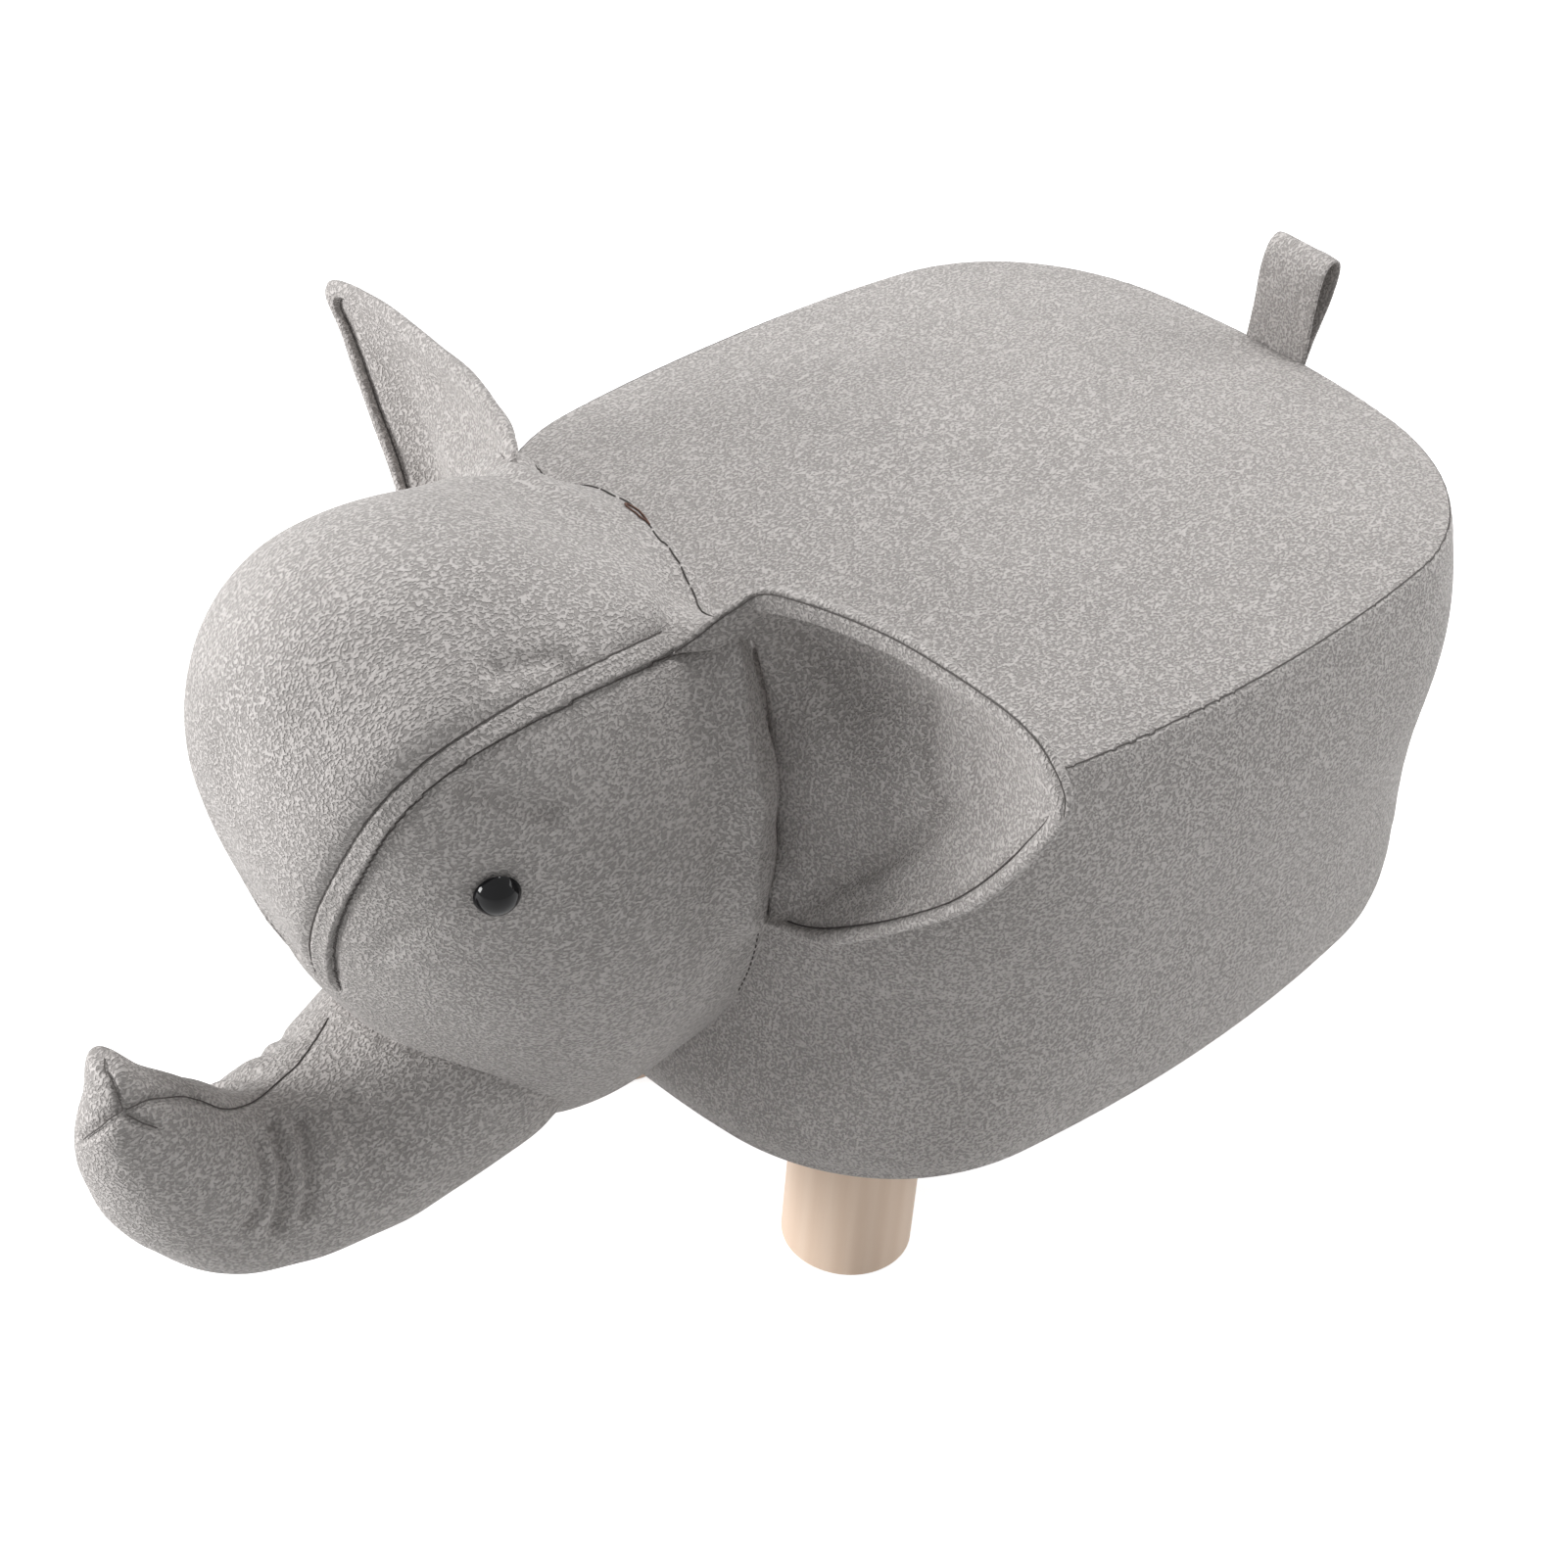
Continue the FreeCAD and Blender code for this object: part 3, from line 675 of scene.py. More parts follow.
def piping_band(side, line):
    """The folded edge of the crown, as one closed strip on the head."""
    points, count = [], len(line)
    for index, (place, way) in enumerate(zip(line, np.gradient(line, axis=0))):
        fade = min(1.0, (index + 4) / 8, (count - index) / 10)
        points += band_section(place, way, side, fade)
    return new_piece(f"{side}_crown_band", points, sleeve_faces(count, 2 * len(band_steps)))


def band_edge(side, line, share):
    """The line along one edge of the band, on the head's surface."""
    edge = []
    for place, way in zip(line, np.gradient(line, axis=0)):
        near, _, across = across_band(place, way, side)
        edge.append(np.array(near + across * (share * band_half_width)))
    return np.array(edge)


crown_bands = [piping_band(side, line[::2]) for side, line in band_lines.items()]
cheek_share, crown_share = -1.3, 1.1
groove_depths, groove_width = {cheek_share: 1.5 * mm, crown_share: 0.8 * mm}, 1.5 * mm
band_edges = {(side, share): band_edge(side, line, share)
              for side, line in band_lines.items() for share in groove_depths}
for (side, share), edge in band_edges.items():
    press(head_cover, edge, groove_depths[share], groove_width)
head_surface = tree_of_piece(head_cover)
# The dark tubes on both band edges are painted shade of the grooves.
cheek_seams = [settle(band_edges[side, cheek_share], head_surface, 0.5 * mm) for side in band_lines]
crown_seams = [settle(band_edges[side, crown_share], head_surface, 0.05 * mm) for side in band_lines]
band_seam_shade = thread("crown_band_seam_shade", cheek_seams + [line[4:-8] for line in crown_seams], 0.3 * mm)
print("bands", [piece.name for piece in crown_bands])

# %% [markdown]
# At the back the head is sewn to the seat by hand, with long stitches and a loop of brown thread left over.
# The seam wanders a little, so its line is shaken before it is pressed in and cut into stitches. A row of
# short stitches also joins the left cheek to the body, below the ear.

# %% The hand-sewn seams at the back of the head
rear_seam_line = smooth_line(spots([
    (180, -58, 331.5), (180, -42, 336), (180, -28, 338), (180, -12, 339), (180, 7, 339.6), (180, 18, 339.4),
    (180, 31, 338), (180, 40, 335), (180, 50, 332)]), 0.5 * mm)
wander = np.array([noise.noise(Vector((index / 16, 4.0, 0))) for index in range(len(rear_seam_line))])
rear_seam_line = rear_seam_line + np.outer(wander, (1.6 * mm, 0, 0))
press(head_cover, rear_seam_line, 0.9 * mm, 1.5 * mm)
head_surface = tree_of_piece(head_cover)
join_line = smooth_line(spots([
    (183, 82, 206), (182.5, 78.5, 191), (182.5, 72, 180), (182.5, 66, 170)]), 0.5 * mm)
rear_runs = stitch_runs(settle(rear_seam_line, head_surface, 0.25 * mm), 7 * mm, 0.8 * mm, 0.1 * mm)
rear_runs += stitch_runs(settle(join_line, head_surface, 0.3 * mm), 2.5 * mm, 2 * mm, 0)
rear_stitches = thread("rear_seam_stitches", rear_runs, 0.32 * mm)
loop_line = smooth_line(spots([(180, 4, 339.9), (182.5, 1, 340.6), (183.5, -3, 340.9), (182, -6, 340.5),
                               (180.3, -3, 340.4), (179.8, 1, 340.0), (180.2, 5, 339.7)]), 0.4 * mm)
brown_loop = thread("brown_thread_loop", [settle(loop_line, head_surface, 0.5 * mm)], 0.35 * mm)
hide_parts(*head_nodes, "head_stuffing")
suede_on_stool(head_cover, *crown_bands, band_seam_shade, rear_stitches, brown_loop)
print("stitch runs", len(rear_runs))

# %% [markdown]
# # The trunk
#
# The trunk is a tube that curls up at its end. A tube is made of rings across its middle line, and each ring
# is found by shooting rays inward at the CAD trunk. Where the head hides the trunk there is nothing to hit,
# and the ring in front is carried on into the head.

# %% Rings of the trunk
trunk_tree = tree_of("trunk_cover")
trunk_middle = smooth_line(spots([
    (226, 0, 160), (243, 0, 151), (262, 0, 144), (285, 0, 137), (309, 0, 131), (338, 0, 130), (366, 0, 142),
    (385, 0, 166), (397, 0, 191), (402.5, 0, 211), (404.5, 0, 220.5)]), 2.6 * mm)
trunk_sides, ray_reach = 72, 60
left = Vector((0, 1, 0))
trunk_points, reaches = [], [0.0] * trunk_sides
for place, way in zip(trunk_middle[::-1], np.gradient(trunk_middle, axis=0)[::-1]):
    middle = Vector(place)
    up = Vector(way).normalized().cross(left).normalized() * -1
    for step in range(trunk_sides):
        turn = math.tau * step / trunk_sides
        out = math.cos(turn) * up + math.sin(turn) * left
        hit = trunk_tree.ray_cast(middle + out * ray_reach * mm, -out, ray_reach * mm)[0]
        if hit:
            reaches[step] = (hit - middle).length
        trunk_points.append(middle + out * reaches[step])
trunk_piece = new_piece("trunk", trunk_points, sleeve_faces(len(trunk_middle), trunk_sides))
print("trunk", len(trunk_middle), "rings")

# %% [markdown]
# A seam runs along the top of the trunk, over its pinched tip and a little way down the front. Where the tip
# was turned up and tacked, creases spread to both sides, and the inside of the bend gathers into wrinkles.

# %% Fill the trunk
trunk_step, trunk_fill, seam_hold = 0.7 * mm, 1.5 * mm, 3 * mm
trunk_seams = {
    "tip": ((404.5, -1, 223), (407.3, 3.7, 220.7), (407, 8, 217), (406.5, 12, 208.2)),
    "right crease": ((405.5, 12.5, 208), (397.4, 13.3, 207.6), (389.9, 12.2, 203.6), (381.9, 10.4, 197.9),
                     (376, 10.1, 192)),
    "left crease": ((406.5, 12, 208), (410, 10, 205), (412.5, 8, 201), (415.5, 3, 194)),
    "short crease": ((406, 13, 206.4), (402, 15.6, 202), (397.3, 17.3, 197.8)),
    "top": ((376, 10, 192), (366, 10, 182), (352, 4, 171.5), (337.5, -2, 168), (326, -4, 169.5),
            (308, -11, 175)),
}
trunk_seam_lines = {name: smooth_line(spots(points), trunk_step) for name, points in trunk_seams.items()}
trunk_start = points_of(trunk_piece)
held_lines = np.vstack([trunk_seam_lines[name] for name in ("top", "right crease", "left crease", "tip")])
trunk_held = (gap_to_line(trunk_start, held_lines) < seam_hold) | (trunk_start[:, 0] < spot(285, 0, 0).x)
puff(trunk_piece, trunk_held, trunk_fill)
subdivide(trunk_piece)
print("trunk", len(trunk_piece.data.vertices), "points")

# %% [markdown]
# The wrinkles of the bend are narrow and deep, so their lines are laid on the filled surface before they are
# pressed in. Those on the left are repeated on the right. The last two are broad dents on the right alone.
# The seams come last, with dark thread sunk in them: thread along the top and the tip, and painted shade
# in the creases.

# %% Fold and sew the trunk
trunk_wrinkles = (
    (((349, 13, 167), (352, 22.7, 160), (356, 29, 151), (362, 31.3, 138)), 4.4, 2.8),
    (((358, 18, 168), (361, 24.7, 161), (366, 28.8, 152), (372, 29.4, 145)), 3.2, 2.6),
    (((340, 16, 164), (343.5, 25, 156.5), (346.7, 30.4, 148.5), (351, 33, 140)), 3.6, 2.8),
    (((325.5, 21.8, 162), (325.5, 29.2, 154.6), (324, 33.6, 148)), 1.9, 3.6),
    (((318.5, 20, 166), (316.6, 29, 158), (313, 35, 149)), 1.6, 3.4),
    (((409, -10, 204), (410, -13, 193), (410, -15, 184)), 3.0, 9.0),
    (((392, -8, 210), (382, -9, 200), (372, -9, 190)), 3.4, 7.0),
)
trunk_outline = ((((318, 22, 96), (332, 24, 98), (348, 22, 100)), 2.2, 12.0),
                 (((408, 0, 150), (403, 8, 138)), -1.6, 12.0),
                 (((340, -12, 168), (350, -10, 171)), 2.0, 8.0))
for points, depth, width in trunk_wrinkles:
    line = smooth_line(spots(points), trunk_step)
    trunk_surface = tree_of_piece(trunk_piece)
    press(trunk_piece, settle(line, trunk_surface, 0), depth * mm, width * mm)
    if points[0][1] > 0:
        press(trunk_piece, settle(mirrored(line), trunk_surface, 0), depth * mm, width * mm)
for points, depth, width in trunk_outline:
    press(trunk_piece, smooth_line(spots(points), trunk_step), depth * mm, width * mm)
bulb_shoulder, flap_point = spots([(409, 9, 198), (406.5, 0, 223)])
press(trunk_piece, [bulb_shoulder], -2.4 * mm, 9 * mm)
press(trunk_piece, [flap_point], -0.6 * mm, 3.5 * mm)
ripple(trunk_piece, 0.8 * mm, 26 * mm, 21.0)
trunk_surface = tree_of_piece(trunk_piece)
trunk_seam_lines = {name: settle(line, trunk_surface, 0) for name, line in trunk_seam_lines.items()}
# The dark tubes in the creases are painted shade; those along the top and the tip are thread.
sunk_lines = [settle(line, trunk_surface, -0.5 * mm) for line in trunk_seam_lines.values()]
trunk_grooves = ((("top", "tip"), 1.0, 1.4), (("right crease", "left crease", "short crease"), 1.7, 1.7))
for names, depth, width in trunk_grooves:
    press(trunk_piece, np.vstack([trunk_seam_lines[name] for name in names]), depth * mm, width * mm)
trunk_thread_and_crease_shade = thread("trunk_thread_and_crease_shade", sunk_lines, 0.28 * mm)
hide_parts("trunk_cover", "trunk_stuffing")
suede_on_stool(trunk_piece, trunk_thread_and_crease_shade)
print("trunk wrinkles", len(trunk_wrinkles), "seams", len(trunk_seam_lines))

# %% [markdown]
# # The ears
#
# Each ear is two layers of suede, cupped like a leaf. It is sewn in behind the cheek, and its top corner
# runs forward to the crown band. The upper edge is turned forward like an awning, and the cup is deepest
# along a fold below it. A net from the sewn root out to the rim suits this: each row has a root point, a rim
# point, how wide the awning is and how far the cloth drops behind it, and where the fold lies and how deep
# it is. The far ear is flatter, so its cloth drops less, and only the near ear has two more folds.

# %% The ears' rows
ear_roots = (
    (215, 52, 329), (207, 57, 329), (199, 63, 330), (190, 66, 331), (185, 67, 325), (183, 68.5, 313),
    (183, 70.5, 300), (183, 73, 287), (183, 75.5, 274), (183, 77.5, 261), (183, 79.5, 248), (184, 81, 236),
    (185, 82, 227), (186, 83, 221), (187, 84, 218.5))
ear_rims = {
    "left": ((213.5, 54, 331), (205, 58.5, 338), (196, 64.6, 348), (187, 68.9, 353.1), (182, 84.8, 356.2),
             (174, 112.8, 356.6), (168, 143.9, 352.9), (166, 175.7, 347.2), (167, 193.5, 331.2),
             (170, 188, 310.8), (174, 170, 278.3), (179, 150, 257), (186, 117, 230.2), (187.5, 97.8, 222.5),
             (188, 87, 219)),
    "right": ((213.5, 54, 331), (205, 54, 335), (194, 52, 340), (187, 58, 345), (181.5, 78, 350.5),
              (175, 104, 350.5), (169, 138, 347.5), (166, 166, 346), (165, 195, 339), (165, 185, 322),
              (167, 168, 300), (172, 144, 276), (180, 115, 238), (187, 97, 224), (188, 87, 219)),
}
ear_dishes = (
    (0, 0, 0.5, 0), (0, 0, 0.5, 0), (0, 0, 0.5, 1), (9, 5, 0.5, 3), (11, 13, 0.5, 3), (12, 14, 0.5, 7),
    (11, 9, 0.52, 11), (9, 3, 0.56, 14), (8, 0, 0.58, 15), (7, 0, 0.56, 14), (7, 0, 0.52, 12),
    (7, 0, 0.47, 9), (7, 0, 0.4, 4), (5, 0, 0.4, 1), (0, 0, 0.5, 0))
ear_long, ear_wide = 140, 56
ear_across = 1 - (1 - np.linspace(0, 1, ear_wide)) ** 1.35
ear_lean, fold_sharpness = (1, 0, 0.15), 0.2
drop_shares = {"left": 1.0, "right": 0.25}
side_turns = {"left": np.array((1, 1, 1)), "right": np.array((1, -1, 1))}
print("ear rows", len(ear_roots))


# %% The ear's two layers
def ear_layers(side):
    """The front and back layers of one ear, drawn on the left side, as rows of points from root to rim."""
    rows = [(*root, *rim, *dish) for root, rim, dish in zip(ear_roots, ear_rims[side], ear_dishes)]
    top = math.hypot(1, fold_sharpness)
    fronts, backs = [], []
    for index, row in enumerate(blend_table(rows, ear_long)):
        root, rim = np.array(spot(*row[:3])), np.array(spot(*row[3:6]))
        strip, drop, valley, depth = row[6:] * (mm, mm, 1, mm)
        from_rim = (1 - ear_across) * np.linalg.norm(rim - root)
        slope = np.where(ear_across < valley, ear_across / valley, (1 - ear_across) / (1 - valley))
        cup = (top - np.hypot(1 - slope, fold_sharpness)) / (top - fold_sharpness)
        deep = depth * cup + drop_shares[side] * drop * np.minimum(1, 4 * ear_across)
        awning = ease((strip + 1.5 * mm - from_rim) / (3 * mm))
        behind_awning = ease(1 - from_rim / (strip + 12 * mm))
        ridge_row = ease(1 - abs(index / ear_long - 0.42) / 0.2)
        ridge = 1.8 * mm * np.exp(-((ear_across - 0.17) / 0.05) ** 2) * ridge_row
        gather = 1.3 * mm * np.sin(index / 5.5) * np.exp(-(ear_across / 0.1) ** 2)
        line = root + (rim - root) * ear_across[:, None]
        fronts.append(line + np.outer(ridge + gather - deep * (1 - awning), ear_lean))
        backs.append(line + np.outer(gather - deep * (1 - behind_awning), ear_lean))
    return np.array(fronts), np.array(backs)


def thicken(front, back, thickness):
    """Sets the layers apart, except at the rim, the root and both ends, where they are sewn together."""
    ways = np.cross(np.gradient(back, axis=1), np.gradient(back, axis=0))
    ways /= np.maximum(np.linalg.norm(ways, axis=2, keepdims=True), 1e-9)
    ways *= np.sign(ways[..., :1] + 1e-9)
    long = np.linalg.norm(back[:, -1] - back[:, 0], axis=1)[:, None]
    edge = np.minimum((1 - ear_across) * long, ear_across * long) / (3 * mm)
    half = thickness / 2 * np.sqrt(1 - (1 - np.clip(edge, 0, 1)) ** 2)
    return front + ways * half[..., None], back - ways * half[..., None]


def rest_on_body(front, back, body, gap):
    """Moves both layers forward where the ear would go into the body."""
    for i, j in np.ndindex(*back.shape[:2]):
        hit = body.ray_cast(Vector((far_out, *back[i, j, 1:])), Vector((-1, 0, 0)))[0]
        push = max(0.0, hit.x + gap - back[i, j, 0]) if hit else 0.0
        front[i, j, 0] += push
        back[i, j, 0] += push


def inside_rim(net, distance):
    """The smooth line that lies at a distance inside the ear's rim."""
    line = []
    for row in net:
        run = np.linalg.norm(row[::-1] - row[-1], axis=1)
        if run[-1] > 1.5 * distance:
            line.append([np.interp(distance, run, row[::-1, axis]) for axis in range(3)])
    return smooth_line(line[::4], 0.8 * mm)


# %% [markdown]
# The two layers share their edge points, so they close into one bag. Its hem is pressed in as a groove with
# thread in it, and the cloth between hem and rim stands out in a roll. A second row of thread follows the
# near ear's upper edge.

# %% Sew the ears
ear_thickness, ear_gap, edge_stitch = 4.4 * mm, 1.0 * mm, 2.6 * mm
hem_widths = {"left": 10 * mm, "right": 9 * mm}
hem_start, edge_end = int(ear_long * 0.535), int(ear_long * 0.6)
ear_folds = {
    "left": ((((0.47, 0.54), (0.55, 0.46), (0.63, 0.53), (0.72, 0.42), (0.8, 0.3)), 2.6, 3.4),
             (((0.47, 0.66), (0.55, 0.58), (0.63, 0.65), (0.72, 0.54), (0.8, 0.42)), -1.6, 4.5)),
    "right": (),
}


def fold_line(net, places):
    """A line over the ear through places given as shares along the root and from root to rim."""
    return smooth_line([net[int(along * ear_long), np.searchsorted(ear_across, out)]
                        for along, out in places], 1.5 * mm)


def ear_bag(side, front, back):
    """One closed piece from the two layers, which share the points of their edges."""
    front_index = np.arange(front[..., 0].size).reshape(front.shape[:2])
    back_index = front_index.copy()
    inner = back_index[1:-1, 1:-1]
    inner[...] = front_index.size + np.arange(inner.size).reshape(inner.shape)
    faces = [tuple(int(grid[i + a, j + b]) for a, b in ((0, 0), (1, 0), (1, 1), (0, 1)))
             for grid in (front_index, back_index)
             for i in range(ear_long - 1) for j in range(ear_wide - 1)]
    points = np.vstack([front.reshape(-1, 3), back[1:-1, 1:-1].reshape(-1, 3)])
    return new_piece(f"{side}_ear_cover", points, faces)


def make_ear(side):
    """One ear: two layers sewn at the edges, rounded, with its hem pressed in and stitched."""
    front, back = thicken(*ear_layers(side), ear_thickness)
    rest_on_body(front, back, seat_surface, ear_gap)
    front, back = front * side_turns[side], back * side_turns[side]
    ear = ear_bag(side, front, back)
    subdivide(ear)
    ripple(ear, 0.7 * mm, 24 * mm, 31.0)
    for places, depth, width in ear_folds[side]:
        press(ear, settle(fold_line(front, places), tree_of_piece(ear), 0), depth * mm, width * mm)
    ear_surface = tree_of_piece(ear)
    hem_line = settle(inside_rim(front[hem_start:], hem_widths[side]), ear_surface, 0)
    roll_line = settle(inside_rim(front[hem_start:], hem_widths[side] / 2), ear_surface, 0)
    edge_line = settle(inside_rim(front[2:edge_end], edge_stitch), ear_surface, 0)
    threads = [settle(hem_line, ear_surface, -0.9 * mm)]
    if side == "left":
        threads.append(settle(edge_line, ear_surface, -0.2 * mm))
    press(ear, hem_line, 1.5 * mm, 1.6 * mm)
    press(ear, roll_line, -0.8 * mm, 3.0 * mm)
    press(ear, edge_line, 0.6 * mm, 1.0 * mm)
    return ear, thread(f"{side}_ear_stitches", threads, 0.26 * mm)


ear_pieces = {side: make_ear(side) for side in ("left", "right")}
for side, pieces in ear_pieces.items():
    turn = side_turns[side]
    for piece in pieces:
        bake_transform(piece)
    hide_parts(f"{side}_ear_front", f"{side}_ear_back")
print("ears", [len(pieces[0].data.vertices) for pieces in ear_pieces.values()])

# %% [markdown]
# # The tail
#
# The tail is a strap folded into a loop and caught in the seat's seam. A strap is thin and flat, so it is
# swept along the loop's outline: up the front, over the top and down the back. Its feet are sewn
# into the seam.

# %% The tail strap
tail_low, tail_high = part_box("tail_loop")
tail_root, tail_lean = spot(-180, 0, 282.9), Matrix.Rotation(math.radians(-12), 3, "Y")
strap_half_width, strap_thickness = (tail_high.y - tail_low.y) / 2 - 1.2 * mm, 2.0 * mm
strap_step, strap_shift, tail_bend = 1.5 * mm, 1 * mm, 8 * mm
tail_outline = ((0.6, -5), (2.2, 8), (4.6, 20), (6.4, 31), (5.6, 38.5), (2.0, 42.6), (-2.2, 41.5),
                (-4.6, 36), (-4.6, 27), (-3.0, 15), (-1.6, 7), (-0.6, -5))
tail_path = smooth_line([(x * mm, 0, z * mm) for x, z in tail_outline], strap_step)
strap_across = np.linspace(-1, 1, 25)
tail_points = []
for index, (place, way) in enumerate(zip(tail_path, np.gradient(tail_path, axis=0))):
    out = Vector((-way[2], 0, way[0])).normalized()
    for face in (1, -1):
        for share in strap_across[::face]:
            wave = 0.5 * mm * noise.noise(Vector((share * 2, index / 9, 7.0)))
            thick = strap_thickness / 2 * (1 - 0.55 * abs(share) ** 8)
            aside = Vector((0, share * strap_half_width - strap_shift, 0))
            flat = Vector(place) + aside + out * (face * thick + wave)
            tail_points.append(tail_root + tail_lean @ flat)
tail_strap = new_piece("tail_strap", tail_points, sleeve_faces(len(tail_path), 2 * len(strap_across)))
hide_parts("tail_loop")
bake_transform(tail_strap)
print("tail strap", round(len(tail_path) * strap_step / mm), "mm long")

# %% [markdown]
# # Finishes
#
# The suede cloth is embossed with a fine labyrinth of ridges, about 1.7 mm from one to the next. A smooth
# noise cut near its middle value gives just such wandering ridges, and stretching it makes them run mostly
# one way. It drives the bump and the colour, and the valleys are painted darker as shade in the embossed
# hollows.


# %% Node helpers
def node_adder(tree):
    """The helper that adds a node to a tree, with its settings and with its inputs as values or links."""
    def add(kind, inputs=(), **settings):
        node = tree.nodes.new(kind)
        for key, value in settings.items():
            setattr(node, key, value)
        for key, value in dict(inputs).items():
            if isinstance(value, bpy.types.NodeSocket):
                tree.links.new(value, node.inputs[key])
            else:
                node.inputs[key].default_value = value
        return node

    return add


def new_material(name, colour, roughness):
    """A material, the helper that adds nodes to it, and its shader's inputs."""
    material = bpy.data.materials.new(name)
    material.use_nodes = True
    inputs = material.node_tree.nodes["Principled BSDF"].inputs
    inputs["Base Color"].default_value = (*colour, 1)
    inputs["Roughness"].default_value = roughness
    return material, node_adder(material.node_tree), inputs


def dress(material, add, inputs, share, colours, bump, rough=None):
    """Lets a pattern on the surface set a material's colour, bump and perhaps its roughness."""
    links = material.node_tree.links
    ramp = add("ShaderNodeValToRGB", {"Fac": share})
    for stop, colour in zip(ramp.color_ramp.elements, colours):
        stop.color = (*colour, 1)
    links.new(ramp.outputs["Color"], inputs["Base Color"])
    links.new(add("ShaderNodeBump", bump).outputs["Normal"], inputs["Normal"])
    if rough:
        links.new(add("ShaderNodeMapRange", rough).outputs[0], inputs["Roughness"])
    return material


# %% Grey suede
def suede(name, top, valley):
    """Embossed suede cloth: a labyrinth grain with painted shade in its valleys, slow mottling and a soft
    sheen.
    """
    material, add, inputs = new_material(name, top, 0.75)
    place = add("ShaderNodeTexCoord").outputs["Object"]
    drawn = add("ShaderNodeMapping", {"Vector": place, "Scale": (0.62, 1.0, 0.85)}).outputs["Vector"]
    grain = add("ShaderNodeTexNoise", {"Vector": drawn, "Scale": 1100.0, "Detail": 0.8, "Roughness": 0.4,
                                       "Distortion": 0.5}).outputs["Fac"]
    height = add("ShaderNodeMapRange", {"Value": grain, "From Min": 0.36, "From Max": 0.62},
                 interpolation_type="SMOOTHSTEP").outputs[0]
    mottle = add("ShaderNodeTexNoise", {"Vector": place, "Scale": 22.0, "Detail": 4.0}).outputs["Fac"]
    slow = add("ShaderNodeMath", {0: mottle, 1: 0.3}, operation="MULTIPLY").outputs[0]
    tone = add("ShaderNodeMath", {0: height, 1: 0.7, 2: slow}, operation="MULTIPLY_ADD").outputs[0]
    inputs["Sheen Weight"].default_value = 0.1
    inputs["Sheen Roughness"].default_value = 0.4
    inputs["Specular IOR Level"].default_value = 0.4
    return dress(material, add, inputs, tone, (valley, top),
                 {"Height": height, "Strength": 1.0, "Distance": 0.45 * mm},
                 {"Value": height, "To Min": 0.85, "To Max": 0.6})


# The valley colour is painted shade: it darkens the grain's hollows.
suede_top, suede_hollow_shade = (0.595, 0.563, 0.546), (0.30, 0.282, 0.272)
grey_suede = suede("grey_suede", suede_top, suede_hollow_shade)
ear_covers, ear_stitches = zip(*ear_pieces.values())
for piece in (seat_cover, head_cover, trunk_piece, tail_strap, *crown_bands, *ear_covers):
    piece.data.materials.clear()
    piece.data.materials.append(grey_suede)
print("suede made of", len(grey_suede.node_tree.nodes), "nodes")

# %% [markdown]
# Thread is twisted, and it is darker than the cloth. The same dark thread lies along the band edges and in
# the trunk's creases as painted shade of those grooves. A wave texture gives it the twist.


# %% Threads
def twisted_thread(name, colour, dark):
    """Twisted sewing thread."""
    material, add, inputs = new_material(name, colour, 0.7)
    place = add("ShaderNodeTexCoord").outputs["Object"]
    twist = add("ShaderNodeTexWave", {"Vector": place, "Scale": 900.0, "Distortion": 1.5},
                bands_direction="DIAGONAL").outputs["Fac"]
    return dress(material, add, inputs, twist, (dark, colour),
                 {"Height": twist, "Strength": 0.4, "Distance": 0.1 * mm})


# The grey thread's dark tubes in the band grooves and the trunk creases are painted shade.
thread_and_seam_shade = twisted_thread("thread_and_seam_shade", (0.10, 0.09, 0.085), (0.06, 0.054, 0.05))
brown_thread = twisted_thread("brown_thread", (0.16, 0.08, 0.055), (0.08, 0.035, 0.025))
sewn_and_shade_tubes = (seat_seam_thread, band_seam_shade, rear_stitches, trunk_thread_and_crease_shade, *ear_stitches)
for piece in sewn_and_shade_tubes:
    piece.data.materials.append(thread_and_seam_shade)
brown_loop.data.materials.append(brown_thread)
print("grey thread on", len(sewn_and_shade_tubes), "pieces")

# %% [markdown]
# The legs are turned from a pale wood with a faint reddish grain that runs down the leg. Rings of the tree
# are a wave texture bent by noise and stretched along the leg. The same recipe with other colours gives the
# plywood of the boards and the brown hardboard of the wall band.


# %% Woods
def wood(name, pale, dark, scale, along, shine):
    """Wood with growth lines along one axis and fine pores."""
    material, add, inputs = new_material(name, pale, shine)
    place = add("ShaderNodeTexCoord").outputs["Object"]
    stretch = [1.0, 1.0, 1.0]
    stretch["xyz".index(along)] = 0.06
    drawn = add("ShaderNodeMapping", {"Vector": place, "Scale": stretch,
                                      "Rotation": (0, 0, 0.5)}).outputs["Vector"]
    lines = add("ShaderNodeTexWave", {"Vector": drawn, "Scale": scale, "Distortion": 5.0, "Detail": 2.0,
                                      "Detail Scale": 1.4}, bands_direction="X").outputs["Fac"]
    pores = add("ShaderNodeTexNoise", {"Vector": drawn, "Scale": 900.0, "Detail": 2.0}).outputs["Fac"]
    part = add("ShaderNodeMath", {0: pores, 1: 0.45}, operation="MULTIPLY").outputs[0]
    tone = add("ShaderNodeMath", {0: lines, 1: 0.55, 2: part}, operation="MULTIPLY_ADD").outputs[0]
    return dress(material, add, inputs, tone, (dark, pale),
                 {"Height": tone, "Strength": 0.12, "Distance": 0.1 * mm},
                 {"Value": pores, "To Min": shine - 0.1, "To Max": shine + 0.15})


